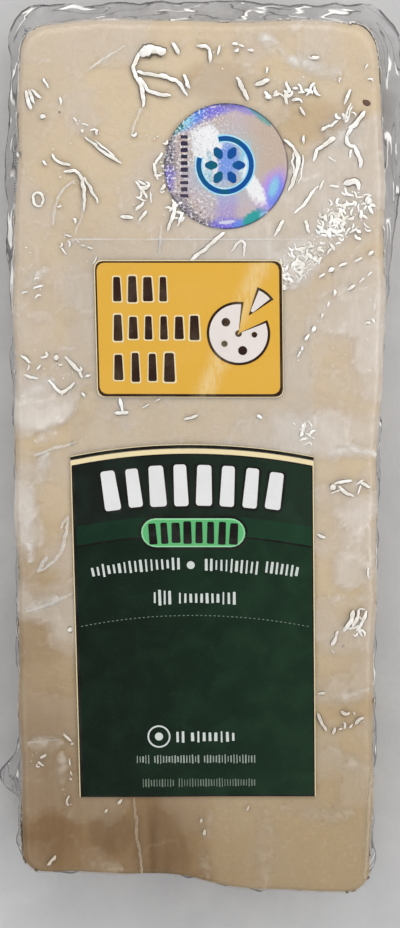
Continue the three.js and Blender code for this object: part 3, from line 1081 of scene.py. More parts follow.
def sector(centre, inner, outer, start, end, cell=0.7):
    """The points, as (u, v, top or bottom), and faces of a slice of a round plate."""
    across = max(3, round((outer - inner) / cell))
    along = max(6, round(math.radians(end - start) * outer / cell))
    (i, j, k), faces = closed_box(across, along, 1)
    turn = np.radians(start + (end - start) * j / along)
    r = inner + (outer - inner) * i / across
    return centre[0] + r * np.cos(turn), centre[1] + r * np.sin(turn), k, faces


def stroke_sizes(count, pitch, width, height, top, uneven, seed, radius=STRAIGHT):
    """The mark tree's values for a row of strokes, from sizes in millimetres. Top is how
    wide a stroke is at its top, as a share of its foot, and radius is the row's arch."""
    return {
        "Count": count,
        "Pitch": pitch * MM,
        "Width": width * MM,
        "Height": height * MM,
        "Top": top,
        "Uneven": uneven,
        "Seed": seed,
        "Arch": radius * MM,
    }


def printed_row(tree, name, ink, place, level, sizes, lean=0.0):
    """A row of marks laid on the label with its middle at this place. Lean is its slope."""
    mesh = tree.run(ink, **sizes)
    u, v, z = vertices(mesh).T
    x, y = on_label(u - lean * v + place[0], v + lean * u + place[1])
    move_vertices(mesh, lay(x, y, z, level))
    return add_mesh(name, mesh, ink, smooth=False)


def vertices(mesh):
    """A mesh's vertices, in millimetres."""
    flat = np.empty(3 * len(mesh.vertices), np.float32)
    mesh.vertices.foreach_get("co", flat)
    return flat.reshape(-1, 3).astype(float) / MM


def move_vertices(mesh, points):
    """Puts a mesh's vertices at these points, in millimetres."""
    mesh.vertices.foreach_set("co", (points * MM).astype(np.float32).ravel())
    mesh.update()


def joined(name, parts, material):
    """One piece from several sets of points and faces."""
    points, faces, start = [], [], 0
    for part_points, part_faces in parts:
        points.append(part_points)
        faces += [[n + start for n in face] for face in part_faces]
        start += len(part_points)
    return add_piece(name, np.concatenate(points), faces, material)


# ------------------------ cheese and film


def block_rows():
    """Heights from the foot of the block to its top, close together on both edges."""
    middle = BLOCK_HEIGHT / 2
    plain_steps = round((BLOCK_HEIGHT - 2 * EDGE_RADIUS) / ROW_STEP)
    heights = middle + stations(middle, EDGE_RADIUS, EDGE_STEPS, plain_steps)
    return [(z, 0.0) for z in heights]


def film_rows():
    """The block's rows, with a thin seal margin standing out at its own height."""
    flat = [row for row in block_rows() if abs(row[0] - MARGIN_HEIGHT) > MARGIN_ROOM]
    steps = np.array([0.0, 0.12, 0.3, 0.5, 0.7, 0.88, 1.0])
    half_thickness = 0.12 + 0.3 * (1 - steps) ** 2
    lower = list(zip(MARGIN_HEIGHT - half_thickness, steps))
    upper = list(zip(MARGIN_HEIGHT + half_thickness, steps))[::-1]
    under = [row for row in flat if row[0] < MARGIN_HEIGHT]
    over = [row for row in flat if row[0] > MARGIN_HEIGHT]
    return under + lower + upper + over


def build_cheese(material):
    """The cheese, just inside its film."""
    facts, faces = slab_grid(CHEESE_CELL, block_rows())
    x, y = warp(facts["x"], facts["y"])
    z = facts["height"] * top_height(x, y) / BLOCK_HEIGHT
    push_x, push_y = bulge(facts["x"], facts["y"], z)
    inward = 1 - CHEESE_INSET / HALF_WIDTH
    crumb = 0.05 * noise(x + 2 * z, y - 3 * z, 1.9, 21) + 0.08 * noise(x - z, y + 2 * z, 5, 22)
    x = (x + push_x) * inward + facts["out_x"] * facts["side"] * crumb
    y = (y + push_y) * (1 - CHEESE_INSET / HALF_LENGTH) + facts["out_y"] * facts["side"] * crumb
    z = CHEESE_INSET + z * (1 - 2 * CHEESE_INSET / BLOCK_HEIGHT)
    return add_piece("cheese_block", np.stack([x, y, z], 1), faces, material)


def way_round(facts):
    """How far round the block's outline a place is, from the near right corner."""
    x, y = facts["x"], facts["y"]
    turn = np.arctan2(facts["out_y"], facts["out_x"]) % (2 * np.pi)
    side = np.floor(turn / (np.pi / 2) + 0.5)
    ways = (
        y + HALF_LENGTH,
        2 * HALF_LENGTH + HALF_WIDTH - x,
        3 * HALF_LENGTH + 2 * HALF_WIDTH - y,
        4 * HALF_LENGTH + 3 * HALF_WIDTH + x,
        5 * HALF_LENGTH + 4 * HALF_WIDTH + y,
    )
    return np.choose(side.astype(int), ways)


def build_film(material):
    """The film drawn round the cheese, with its crumpled seal margin."""
    facts, faces = slab_grid(FILM_CELL, film_rows())
    x, y = warp(facts["x"], facts["y"])
    out, side, height = facts["out"], facts["side"], facts["height"]
    z = np.where(out > 0, height, height * film_height(x, y) / BLOCK_HEIGHT)
    amount, edge = facets(x, y, side * (BLOCK_HEIGHT - height))
    push_x, push_y = bulge(facts["x"], facts["y"], z)

    up_the_side = np.sin(np.pi * np.clip(height / BLOCK_HEIGHT, 0, 1))
    folds = np.abs(noise(x + y, 3 * z + x - y, 5, 31)) + 0.5 * np.abs(noise(x + y, z, 2.2, 32))
    proud = side * (0.08 + 0.45 * folds * up_the_side * (1 - 0.6 * out))
    reach = margin_reach(x, y, facts["out_x"], facts["out_y"])
    frays = 0.28 * noise(x, y, 3.1, 33) + 0.14 * noise(x, y, 1.3, 34)
    outward = proud + out * (reach + frays * np.clip(out - 0.4, 0, 1))
    x = x + push_x + facts["out_x"] * outward
    y = y + push_y + facts["out_y"] * outward

    crumple = 1.1 * np.abs(noise(x, y, 3.4, 35)) + 0.5 * np.abs(noise(x, y, 1.5, 36)) - 0.5
    ripple = MARGIN_RIPPLE * np.sin(0.55 * y - 0.8 * x) - MARGIN_DROOP
    layer = np.sign(height - MARGIN_HEIGHT)
    puff = 0.45 * np.maximum(noise(x, y, 4.2, 37), 0) * np.sin(np.pi * np.clip(out, 0, 1))
    z = z + out**2 * ripple + np.where(out > 0, np.minimum(out * 2, 1) * crumple * 0.8, 0)
    z = z + np.where(out > 0, layer * puff, 0)
    film = add_piece("clear_film", np.stack([x, y, z], 1), faces, material)
    paint(film, "milkiness", amount)
    paint(film, "facet_edge", edge)
    paint(film, "margin", out)
    paint(film, "beyond", out * reach)
    paint(film, "around", way_round(facts))
    return film


def seed_lines(lines):
    """A mesh of lines for the fold tree: each is a width and the points it runs through."""
    points, edges, wide = [], [], []
    for width, *stops in lines:
        first = len(points)
        points += [(x * MM, y * MM, 0) for x, y in stops]
        wide += [width] * len(stops)
        edges += [(n, n + 1) for n in range(first, len(points) - 1)]
    mesh = bpy.data.meshes.new("fold_lines")
    mesh.from_pydata(points, edges, [])
    layer = mesh.attributes.new("wide", "FLOAT", "POINT")
    layer.data.foreach_set("value", wide)
    return bpy.data.objects.new("fold_lines", mesh)


def rounded_line(stops):
    """A line through these stops, with each corner eased by a point cut."""
    stops = [np.array(stop, float) for stop in stops]
    for _ in range(2):
        if len(stops) < 3:
            break
        eased = [stops[0]]
        for here, there in zip(stops[:-1], stops[1:]):
            eased += [here * 0.75 + there * 0.25, here * 0.25 + there * 0.75]
        stops = eased + [stops[-1]]
    return [tuple(stop) for stop in stops]


def eased(line):
    """A line's width, its stops with the corners eased, and how far along each stop is."""
    width, *stops = line
    stops = np.array(rounded_line(stops))
    steps = np.hypot(*np.diff(stops, axis=0).T)
    return width, stops, np.concatenate([[0], np.cumsum(steps)])


# Folds that stand out on the top face: a width, then the points each runs through.
FOLDS = (
    (2.6, (-10.2, 73), (-8.6, 74.3), (-5.9, 73.4)),
    (1.2, (-9.9, 74), (-11.5, 72), (-11.5, 70.5), (-10, 67.5), (-9.8, 64.5)),
    (1.1, (-11, 70.5), (-7, 69.8), (-3.8, 68.8), (-2.3, 66.5)),
    (1.1, (-10.5, 69.5), (-9.2, 67.3), (-7.2, 66.6), (-5, 66.3)), (1, (-4.8, 75.5), (-3.7, 73.5)),
    (1, (-2.8, 70), (-1.8, 67.5)), (0.9, (-0.6, 74.7), (1.8, 74.7), (1.7, 72)),
    (0.8, (3.4, 74.8), (3, 73.2)), (1.2, (6.3, 69.5), (8.4, 65.7)), (1.3, (9.5, 68.2), (12, 69.2)),
    (0.9, (25, 64.8), (26, 67.5)), (0.8, (17.2, 64.5), (18.2, 63)),
    (1.3, (28.5, 63.9), (27.2, 61.6), (25.7, 60.9)),
    (1.1, (26.4, 61.2), (25.4, 59.4), (25.6, 58), (27, 57.6)),
    (1.2, (26.6, 58), (28, 55.6), (27.9, 54.2)), (0.7, (26.3, 57.2), (25.8, 55.8)),
    (1, (19.7, 55.3), (20.3, 57.2), (21.8, 58.1)), (1.5, (21.4, 57.9), (23.6, 59.2)),
    (0.7, (22.4, 56), (23.6, 55.2)), (0.9, (17.9, 58.2), (18.2, 59.6)),
    (0.6, (26.4, 64.6), (25.4, 61.9), (25, 62.1), (26.2, 65.2)),
    (1.1, (14.6, 58.9), (16.4, 57.6), (17.2, 55.4), (16.6, 52.6), (15.4, 50.1)),
    (0.6, (16.4, 57), (15.9, 54.5), (16.9, 51.9)), (0.6, (17.8, 56.4), (17.9, 53.6), (17, 51.4)),
    (1.1, (-30.2, 67.2), (-29.3, 64)), (0.9, (-29.8, 67.4), (-28.6, 65)),
    (0.9, (-29.3, 67.4), (-27.6, 66)), (0.8, (-27.1, 69.4), (-26.3, 67.6)),
    (1.5, (-27.8, 63), (-26.8, 62.8)), (0.8, (-24.3, 66), (-24.1, 64.8)),
    (0.9, (-20.2, 59.4), (-17, 57), (-13.8, 54.7)), (0.6, (-18.2, 58.8), (-14.8, 56)),
    (0.9, (-25.8, 56.5), (-24.7, 54.9), (-22.5, 54.5)),
    (1, (-23.6, 53.3), (-21.4, 53.6), (-20.2, 51.5), (-20.2, 46.5)),
    (0.9, (-20.2, 52.5), (-17.7, 48)), (0.9, (-27.4, 55.4), (-26.6, 54.6)),
    (0.8, (-29.2, 49.2), (-28.6, 50), (-27.8, 49.8), (-27.3, 48.6), (-27.8, 47.6)),
    (0.8, (-29.2, 49.4), (-29.2, 48.2), (-28.6, 47.4), (-27.6, 47.5)),
    (1.1, (-14, 45.8), (-11.7, 45.4)), (0.9, (-11.2, 51.6), (-9.2, 49)),
    (0.9, (-9.7, 48.4), (-11.2, 46.6)), (0.8, (-8.2, 55), (-7.4, 52)),
    (0.8, (-6.5, 56.6), (-8.1, 54.5)), (1, (-4.6, 49), (-4.3, 46.8), (-5.7, 43.2)),
    (0.8, (-2.8, 46.7), (-4.1, 44)), (0.9, (20.6, 51), (18.6, 48.6), (18, 47.5), (16.2, 46.4)),
    (0.8, (21.6, 52), (20.8, 50.2)), (0.8, (22.6, 51), (24.2, 50.8)),
    (1.5, (25, 51.2), (27.2, 51.9), (27.8, 50.2)), (0.8, (25.4, 50.6), (25.6, 49.4), (26.8, 49.2)),
    (2, (29, 48.6), (30, 48.2)), (1, (29.4, 47.6), (30.2, 46.2)), (1, (14.5, 45.2), (13, 42.3)),
    (1, (18.4, 45.1), (19.1, 42.7)), (1.1, (4.3, 42.9), (-1.9, 37.8)),
    (0.8, (5.5, 39.7), (6.9, 41.6), (7.9, 41.3), (7.6, 38.8)), (0.9, (-2.9, 9.9), (-0.5, 10.7)),
    (0.9, (-31.8, 21.5), (-30.1, 20)), (0.8, (-31.3, 17.9), (-28.7, 17.2)),
    (1.6, (-26, 20.9), (-25, 21)), (1, (-24, 21.2), (-22, 19.3), (-20.8, 17.4)),
    (0.9, (-26.8, 17), (-24.6, 14.2), (-22.3, 16.5)), (0.8, (-20.9, 14.9), (-20.5, 14)),
    (1.1, (-15.2, 11.2), (-12.7, 11.1)), (1, (-14.3, 13.8), (-13.7, 11)),
    (1.1, (10.2, 10.8), (10.9, 10.2)), (1.5, (23.2, -2.6), (24.2, -1.8)),
    (1, (24, -1.6), (25.6, -1.2), (27.2, -1.2)), (1, (24.8, -2), (26.2, -3.4), (27.6, -4)),
    (0.9, (28.6, -1), (29.4, -1.9), (30.6, -2.4)), (0.7, (28.8, -1.8), (28.4, -3.6)),
    (0.9, (21, -10.9), (22.5, -11.4)), (0.8, (30.2, -16.8), (30.4, -19)),
    (1, (25, -28.6), (23.8, -31.2)), (1.2, (23.9, -32.2), (24.3, -32.6)),
    (1.4, (26, -28.6), (27.4, -26.8), (27.8, -24.9)),
    (1, (27.6, -27.8), (28.6, -26), (28.8, -24.8)),
    (1.1, (28.2, -28.6), (29.4, -27), (30.2, -24.9)), (0.9, (28.6, -28.4), (29.4, -29.6)),
    (1.4, (-24, -28.5), (-23.2, -28.3)), (0.9, (21.4, -44), (23.1, -47.4)),
    (1, (24.3, -48.1), (24.7, -46.7)), (0.8, (25.4, -47.2), (26.1, -46.8)),
    (0.7, (26.6, -46.9), (26.8, -46.2)), (0.8, (27.3, -46.8), (27.9, -46.1)),
    (1.2, (28.3, -46.2), (29, -45.2), (29.9, -45)),
    (1.2, (25.7, -43.7), (26.6, -44.4), (27.3, -44.1)), (0.8, (28, -43.7), (28.3, -44.4)),
    (0.9, (21.4, -40.3), (22.8, -40)), (0.8, (-24.9, -47.8), (-23.6, -49.4)),
    (1.3, (-23.8, -49.9), (-23.2, -49.8)), (0.9, (-26.7, -71.2), (-28.3, -73.3)),
    (1.1, (-15.2, -61.2), (-14.4, -60.4)), (1, (-17.6, -62.8), (-17.2, -62.2)),
    (1.1, (0.1, -64.8), (0.3, -64)), (1.2, (0.7, -67.4), (0.9, -66.2)),
    (0.8, (8.6, -62.6), (9, -61.8)),
)

# Fine creases, fainter than the folds.
CREASES = (
    (1.2, (-23.6, -7.9), (-24.4, -12.4), (-26, -15.7), (-28.9, -17.6)),
    (1, (-23.6, -7.6), (-25.2, -9.8)), (1.3, (-27.6, -14.8), (-29.3, -17.8)),
    (1.1, (-31.8, -25.2), (-28.5, -24.2), (-22.9, -21.6)),
    (1, (-29.6, 3.4), (-27, 4.4), (-24.3, 5.2), (-22.3, 6)),
    (1, (-12.2, -60.2), (-11.8, -63.7), (-11.6, -68.4), (-11.1, -71.1), (-10.7, -74.8)),
    (0.8, (-19.2, 70.7), (-16.2, 72.9), (-12.9, 74.8)),
    (0.8, (-10, 64.4), (-11.2, 62.2), (-12, 59.5)), (0.9, (-25.4, -48.9), (-31.4, -49.7)),
    (0.8, (31, 32.6), (30.6, 29.3)), (0.8, (-6.9, 44.4), (-7.1, 39)),
    (0.9, (-21.6, 52), (-23.9, 50.9), (-25.2, 48), (-25.8, 44.2)),
    (0.7, (-20.6, 50.5), (-20.4, 46), (-22, 42.6)), (1, (31.4, -55.5), (31, -66), (30.6, -76)),
)

# Broad, soft folds.
SWELLS = (
    (1.3, (-31.6, -24.6), (-28.2, -23.6), (-23.6, -21.9)),
    (1.2, (-30.6, -16), (-31.2, -6), (-28.6, 0.5), (-27, 4)),
    (1, (-25.2, -15.8), (-24.2, -11), (-23.4, -7)), (0.9, (-29.6, 6), (-25, 7.6), (-20, 10.4)),
    (1, (2.2, -60.7), (1.1, -66.5), (0.2, -70.3), (1.4, -76)),
    (1.5, (11.8, -60.7), (12.4, -68.4), (11.8, -72.2), (12, -78)),
    (1.5, (14.7, -62), (22.1, -63.2), (28.6, -63.6)), (1.3, (23.4, -50.5), (26, -53), (30.6, -55)),
    (1, (-25.3, -51.2), (-25.4, -57.5)), (1.2, (-31.6, -49.9), (-22.9, -49.7)),
    (1.1, (-20.5, -60.4), (-17.6, -62.5), (-15.2, -61.5)), (1, (-20.4, -72.6), (-14.2, -74)),
    (1, (-9, 12.4), (-8.6, 6.4)), (1, (-6.2, 12.2), (-6, 6.4)), (1.4, (22, 58), (28.5, 61.5)),
    (1, (22, 3.8), (27.5, 4.6), (31.5, 3.4)), (1.2, (22.5, -21.5), (26, -24), (31.4, -23)),
    (1.1, (22, -40), (26, -41.5), (30.8, -39.5)), (1.1, (-31.8, 14), (-26, 16.5), (-21.5, 22.5)),
    (1, (-31, 33.5), (-27, 36.5), (-21.5, 38.5)), (1.2, (10, 77), (16, 72), (24.5, 70)),
    (1, (4, 9), (10.5, 10.5), (16, 8)),
)

# Long folds broken into beads.
BEADED_FOLDS = (
    (1.1, (11.2, 66.2), (13.5, 66.4), (16.5, 67.9), (19.5, 67)), (1, (20.9, 60.5), (26.5, 63.4)),
    (0.9, (5.4, 75.3), (9.4, 73.8)), (1.1, (23.8, 33), (22, 29), (18.5, 24), (17, 20.5)),
    (1.2, (21, 35.3), (23.7, 36.9), (27, 38), (31, 39.8)), (0.9, (26, 33), (30.5, 36)),
    (0.7, (-24, 42.5), (-18.5, 40)), (0.7, (-31.5, 32.5), (-27, 33.5)),
    (0.7, (16.5, 9.5), (20.5, 6.3)), (0.6, (-22, 62.5), (-17.5, 60)),
    (0.6, (-10.5, 12), (-6.5, 14)), (0.8, (-20.5, 17.7), (-17, 18.4)),
    (0.7, (-24.2, -52.5), (-23.6, -58)),
)

# Patches of small crumpled folds: middle, half widths, lean in degrees, how many folds,
# and how long each is at most.
CRUMPLES = (
    (25.2, 46.2, 5.4, 3.2, 30, 260, 1.3), (20.8, 40.6, 5.4, 2.2, 44, 260, 1),
    (16.6, 37, 4.8, 2.5, 50, 900, 0.95), (27, 42.5, 3, 1, 30, 16, 1.4),
    (15.8, 66.8, 4.2, 1.1, 12, 22, 1.6), (24.5, 62.4, 3.2, 0.6, 28, 9, 1.4),
    (28.6, -27.4, 1.9, 2.2, -20, 12, 1.8), (26.3, -2.2, 3.4, 1.6, 0, 4, 1.4),
    (19, 7.6, 1.1, 2.4, -10, 22, 1.2), (-9.8, 49, 1.9, 3.6, 0, 14, 1.7),
    (-6.4, 53.5, 1, 5.5, 0, 16, 0.9), (-4.3, 45.8, 2.2, 2.4, 0, 9, 1.8),
    (-8.5, 59.6, 3.2, 0.5, 0, 9, 0.9), (-19.5, 61, 2.6, 1.8, 0, 7, 0.9),
    (-23.5, 41.2, 1, 2.2, 0, 6, 1), (-19, 38, 1.4, 0.8, 0, 5, 1), (19.6, 73.6, 1.6, 1.1, 0, 7, 1.3),
    (25.5, 70.5, 5.5, 3.5, 0, 6, 0.8), (-24, 17, 4.5, 3.2, 0, 10, 1),
    (-29, 21, 2.4, 4.4, 0, 7, 0.9), (28.5, -45.9, 2.8, 0.6, 8, 16, 1),
    (-29.8, -52.6, 1.2, 1.8, 0, 6, 1.1), (-24.4, -60.5, 0.6, 2.6, 8, 9, 0.9),
    (-29.5, 36.5, 2.2, 5, 0, 10, 0.9), (29.5, 30, 2.2, 4, 0, 8, 1), (26.5, 22, 4.5, 7, 0, 6, 0.8),
    (0, 71, 20, 4, 0, 10, 0.8), (-25, 50, 5, 10, 0, 10, 0.8), (27, -60, 3, 14, 0, 3, 0.7),
)


def beads(line, draw):
    """Short pieces along a line."""
    width, stops, places = eased(line)
    at, pieces = 0.0, []
    while at < places[-1]:
        size = draw.uniform(0.5, 1.6)
        ends = np.array([at, min(at + size, places[-1])])
        xs, ys = (np.interp(ends, places, stops[:, n]) for n in (0, 1))
        xs, ys = xs + draw.normal(0, 0.15, 2), ys + draw.normal(0, 0.15, 2)
        pieces.append((width * draw.uniform(0.6, 1.2), *zip(xs, ys)))
        at += size + draw.uniform(0.3, 1.3)
    return pieces


def crumple(patch, draw):
    """Short bent folds thrown over a patch."""
    x, y, half_x, half_y, lean, count, longest = patch
    middles = []
    for _ in range(count):
        r, turn = math.sqrt(draw.uniform()), draw.uniform(0, 2 * np.pi)
        a, b = leaned(r * half_x * math.cos(turn), r * half_y * math.sin(turn), lean)
        here = np.array([x + a, y + b])
        heading, length = draw.uniform(0, 2 * np.pi), longest * draw.uniform(0.3, 1)
        if any(np.hypot(*(here - other)) < 0.45 * longest for other in middles):
            continue
        middles.append(here)
        stops = [here - length / 2 * np.array([math.cos(heading), math.sin(heading)])]
        bend = draw.normal(0, 0.6)
        for _ in range(3 if length > 0.7 else 1):
            step = np.array([math.cos(heading), math.sin(heading)]) * length / 2
            stops.append(stops[-1] + step)
            heading += bend + draw.normal(0, 0.4)
        yield (draw.uniform(0.5, 1.05), *map(tuple, stops))


def bare_parts(line, clearance):
    """The parts of a line that stay this far from the label and the round sticker."""
    width, stops, places = eased(line)
    steps = np.linspace(0, places[-1], max(int(places[-1] / 0.8), 2))
    x, y = (np.interp(steps, places, stops[:, n]) for n in (0, 1))
    parts, part = [], []
    for here, bare in zip(zip(x, y), clear_of_stickers(x, y, clearance) >= 1):
        if bare:
            part.append(here)
        if part and (not bare or here == (x[-1], y[-1])):
            parts.append((width, *part))
            part = []
    return [part for part in parts if len(part) > 3]


def fold_lines(seed):
    """Every fold on the top face."""
    draw = np.random.default_rng(seed)
    lines = [(width, *rounded_line(stops)) for width, *stops in FOLDS]
    for line in BEADED_FOLDS:
        lines += beads(line, draw)
    for patch in CRUMPLES:
        lines += crumple(patch, draw)
    return lines


def outline_round():
    """The block's outline at its middle height: places in mm round it, and the way out."""
    facts, _ = slab_grid(CHEESE_CELL, [(BLOCK_HEIGHT / 2, 0.0)] * 2)
    edge = (facts["side"] > 0) & (facts["row"] == 0)
    x, y = warp(facts["x"][edge], facts["y"][edge])
    out = np.stack([facts["out_x"][edge], facts["out_y"][edge]], 1)
    middle = np.array([x - 6 * out[:, 0], y - 6 * out[:, 1]])
    order = np.argsort(np.arctan2(middle[1], middle[0]))
    places, out = np.stack([x, y], 1)[order], out[order]
    steps = np.hypot(*np.diff(places, axis=0, append=places[:1]).T)
    return np.concatenate([[0], np.cumsum(steps)]), places, out


SIDE_FOLDS = 170  # folds down the four sides


def side_lines(seed, way_length):
    """Folds that run down the block's sides, as places round it and heights."""
    draw = np.random.default_rng(seed)
    lines = []
    for _ in range(SIDE_FOLDS):
        way = draw.uniform(0, way_length - 4)
        top = draw.uniform(*((11, BLOCK_HEIGHT - 0.8) if draw.uniform() < 0.6 else (9, 12)))
        drop = min(draw.uniform(0.8, 7), top - MARGIN_HEIGHT - 2)
        lean, sway = draw.normal(0, 0.45), draw.normal(0, 0.3)
        stops = [(way, top), (way + lean * drop / 2 + sway, top - drop / 2)]
        line = (draw.uniform(0.45, 1.1), *rounded_line([*stops, (way + lean * drop, top - drop)]))
        lines += beads(line, draw) if draw.uniform() < 0.4 else [line]
    return lines


def build_side_folds(film, tree, material, look):
    """Ridges of film on the four sides, each point set on the film that is there."""
    shell = BVHTree.FromPolygons(
        [vertex.co for vertex in film.data.vertices],
        [polygon.vertices for polygon in film.data.polygons],
    )
    ways, places, outs = outline_round()
    places, outs = (np.concatenate([ring, ring[:1]]) for ring in (places, outs))
    lines = side_lines(look.seed, ways[-1])
    mesh = tree.run(material, seed_lines(lines), Flank=look.flank, Rise=look.rise)
    points = vertices(mesh)
    crest = points[:, 2] > 0
    way = np.clip(points[:, 0], 0, ways[-1])
    base = np.stack([np.interp(way, ways, places[:, n]) for n in (0, 1)], 1)
    out = np.stack([np.interp(way, ways, outs[:, n]) for n in (0, 1)], 1)
    out = out / np.hypot(*out.T)[:, None]
    start = np.column_stack([base + 4 * out, points[:, 1]]) * MM
    for n, (here, heading) in enumerate(zip(start, out)):
        inward = Vector((-heading[0], -heading[1], 0))
        hit = shell.ray_cast(Vector(here), inward)[0]
        if hit is None:
            raise RuntimeError("A side fold has no film under it.")
        stand = (2 * points[n, 2] - 0.04) * MM
        points[n] = (np.array(hit) + np.array([*heading, 0]) * stand) / MM
    move_vertices(mesh, points)
    folds = add_mesh("side_folds", mesh, material, smooth=False)
    paint(folds, "crest", crest)
    return folds


def build_folds(name, lines, tree, material, **sizes):
    """Ridges of film along these lines, standing on the film over the top face."""
    mesh = tree.run(material, seed_lines(lines), **sizes)
    points = vertices(mesh)
    x, y, z = points.T
    crest = z > 0
    steep = 0.95 + 0.5 * noise(x, y, 1.7, 42)
    points[:, 2] = film_height(x, y) - 0.03 + np.where(crest, 2 * z * steep, 0)
    move_vertices(mesh, points)
    folds = add_mesh(name, mesh, material, smooth=False)
    paint(folds, "crest", crest)
    return folds


# Dark flecks on the cheese: middle, half length, half width and lean in degrees.
FLECKS = (
    (28.9, 65.2, 0.72, 0.5, -25),
    (-24.4, 63.6, 0.22, 0.18, 0),
    (26.0, -31.5, 0.24, 0.2, 40),
)


def build_flecks(material):
    """The few dark flecks on the cheese."""
    parts = []
    for middle_x, middle_y, half_length, half_width, lean in FLECKS:
        points, faces = closed_disc(1, 4, 18)
        x, y = leaned(points[:, 0] * half_length, points[:, 1] * half_width, lean)
        x, y = middle_x + x, middle_y + y
        frays = 0.2 * half_width * noise(x, y, 0.6, 41)
        x, y = x + frays, y - frays
        swell = 0.08 * (1 - points[:, 0] ** 2 - points[:, 1] ** 2) * points[:, 2]
        z = top_height(x, y) - CHEESE_INSET + 0.06 * points[:, 2] + swell
        parts.append((np.stack([x, y, z], 1), faces))
    return joined("dark_flecks", parts, material)


# ------------------------ label and sticker


SHEET_CORNER = 1.6


def build_sheet(material):
    """The label's clear film, lying on the film over the cheese."""
    across, along = SHEET_CELLS
    (i, j, k), faces = closed_box(across, along, 1)
    v = (j / along - 0.5) * LABEL_LENGTH
    reach = LABEL_WIDTH / 2 - pull_in(LABEL_LENGTH / 2 - np.abs(v), SHEET_CORNER) * 0.5
    u = reach * (2 * i / across - 1)
    x, y = on_label(u, v)
    sheet = add_piece("label_sheet", lay(x, y, k * SHEET_THICKNESS), faces, material)
    paint(sheet, "inside", np.minimum(reach - np.abs(u) + 0.2, LABEL_LENGTH / 2 - v) / 2)
    return sheet


# The green field's edges and zones, as places on the label's own axes.
FIELD_EDGE = LABEL_WIDTH / 2
FIELD_SIDE, FIELD_FOOT = FIELD_EDGE - 0.18, -50.9
FIELD_TOP, TITLE_FOOT, BAND_FOOT, DOTS_ARC, RULE = 12.8, 1.6, -1.9, -16.8, 14.1
LEFT_LINE = 0.3  # how much wider the black line is on the left


def build_field(inks):
    """The dark green field, its zones, and the cream edge and black rule over it."""
    foot = arch(FIELD_FOOT + 0.3, STRAIGHT)
    ends = FIELD_SIDE - 0.25
    fields = (
        # name, ink, half width, lower line, upper line, level
        ("field_edge", "cream", FIELD_EDGE, arch(FIELD_FOOT, STRAIGHT), arch(FIELD_TOP + 0.9), 0),
        ("field_line", "black", FIELD_SIDE, arch(FIELD_FOOT, STRAIGHT), arch(FIELD_TOP), 1),
        ("green_field", "green", ends, foot, arch(DOTS_ARC), 2),
        ("middle_zone", "middle", ends, arch(DOTS_ARC), arch(BAND_FOOT - 0.35), 2),
        ("bright_band", "band", ends, arch(BAND_FOOT), arch(TITLE_FOOT), 2),
        ("title_zone", "title", ends, arch(TITLE_FOOT), arch(FIELD_TOP - 0.25), 2),
        ("rule_edge", "cream", FIELD_EDGE, arch(RULE - 0.3), arch(RULE + 0.4), 0),
        ("arched_rule", "black", FIELD_EDGE, arch(RULE - 0.28), arch(RULE + 0.26), 1),
    )
    return [
        field(name, -half + (LEFT_LINE if level == 2 else 0), half, low, high, level, inks[ink])
        for name, ink, half, low, high, level in fields
    ]


# The rows of plain strokes in the field: left and right end, height on the label, how
# tall and how wide the strokes are, and their ink.
WORDS = (
    (-18.7, -2.3, -7.2, 2.0, 0.42, "pale"),
    (1.8, 11.8, -7.4, 2.1, 0.42, "pale"),
    (12.7, 19.0, -7.0, 2.0, 0.42, "pale"),
    (-7.6, -4.0, -13.5, 2.4, 0.42, "pale"),
    (-3.1, 7.7, -13.6, 2.0, 0.42, "pale"),
    (-4.0, -2.0, -39.5, 1.9, 0.4, "pale"),
    (-1.3, 7.2, -39.5, 1.8, 0.48, "pale"),
    (-11.2, -8.6, -43.7, 1.4, 0.24, "faint"),
    (-8.0, 0.5, -43.7, 1.4, 0.24, "faint"),
    (1.1, 10.8, -43.7, 1.4, 0.24, "faint"),
    (-10.2, -4.2, -48.2, 1.4, 0.22, "dim"),
    (-3.6, 10.7, -48.2, 1.4, 0.22, "dim"),
)
STROKE_GAP = 1.25  # between strokes, as a share of their width
BENT_ABOVE = -12.0  # rows higher than this follow the arch

# The other rows of marks: a name, ink, height on the label and level, then how many there
# are, their pitch, width, height and top, and the seed of their unevenness.
ROWS = (
    ("title_shadow", "black", 7.0, 3, 8, 4.2, 3.5, 7.8, 0.96, 4),
    ("title_marks", "white", 7.1, 4, 8, 4.2, 2.8, 7.1, 0.86, 4),
    ("pill_marks", "black", -1.5, 6, 8, 2.08, 1.45, 3.9, 0.9, 9),
    ("dotted_arc", "dim", DOTS_ARC, 3, 52, 0.8, 0.4, 0.16, 1.0, 3),
)

# Dots and rings: a name, the middle, and the inner and outer radius.
DOTS = (
    ("field_dot", (-0.54, -7.5), 0.0, 0.72),
    ("field_ring", (-6.9, -39.4), 1.8, 2.1),
    ("ring_dot", (-6.9, -39.4), 0.0, 0.75),
)


def build_field_marks(tree, inks):
    """The plain marks that stand in the places of the field's lines of print."""
    pieces = []
    for name, ink, v, level, count, pitch, width, height, top, seed in ROWS:
        sizes = stroke_sizes(count, pitch, width, height, top, 0.07, seed, ARCH_RADIUS)
        pieces.append(printed_row(tree, name, inks[ink], (0, v), level, sizes))
    for n, (left, right, v, height, stroke, ink) in enumerate(WORDS):
        middle = (left + right) / 2
        radius = ARCH_RADIUS if v > BENT_ABOVE else STRAIGHT
        count = round((right - left) / (stroke * (1 + STROKE_GAP)))
        pitch = (right - left) / count
        sizes = stroke_sizes(count, pitch, stroke, height, 0.9, 0.22, 20 + n, radius)
        # The row bends about its own middle, so its lean and drop make up for the arch.
        place, lean = (middle, v - middle**2 / (2 * radius)), -middle / radius
        pieces.append(printed_row(tree, f"word_{n + 1}", inks[ink], place, 4, sizes, lean))
    return pieces + [printed_dot(*dot, inks["pale"]) for dot in DOTS]


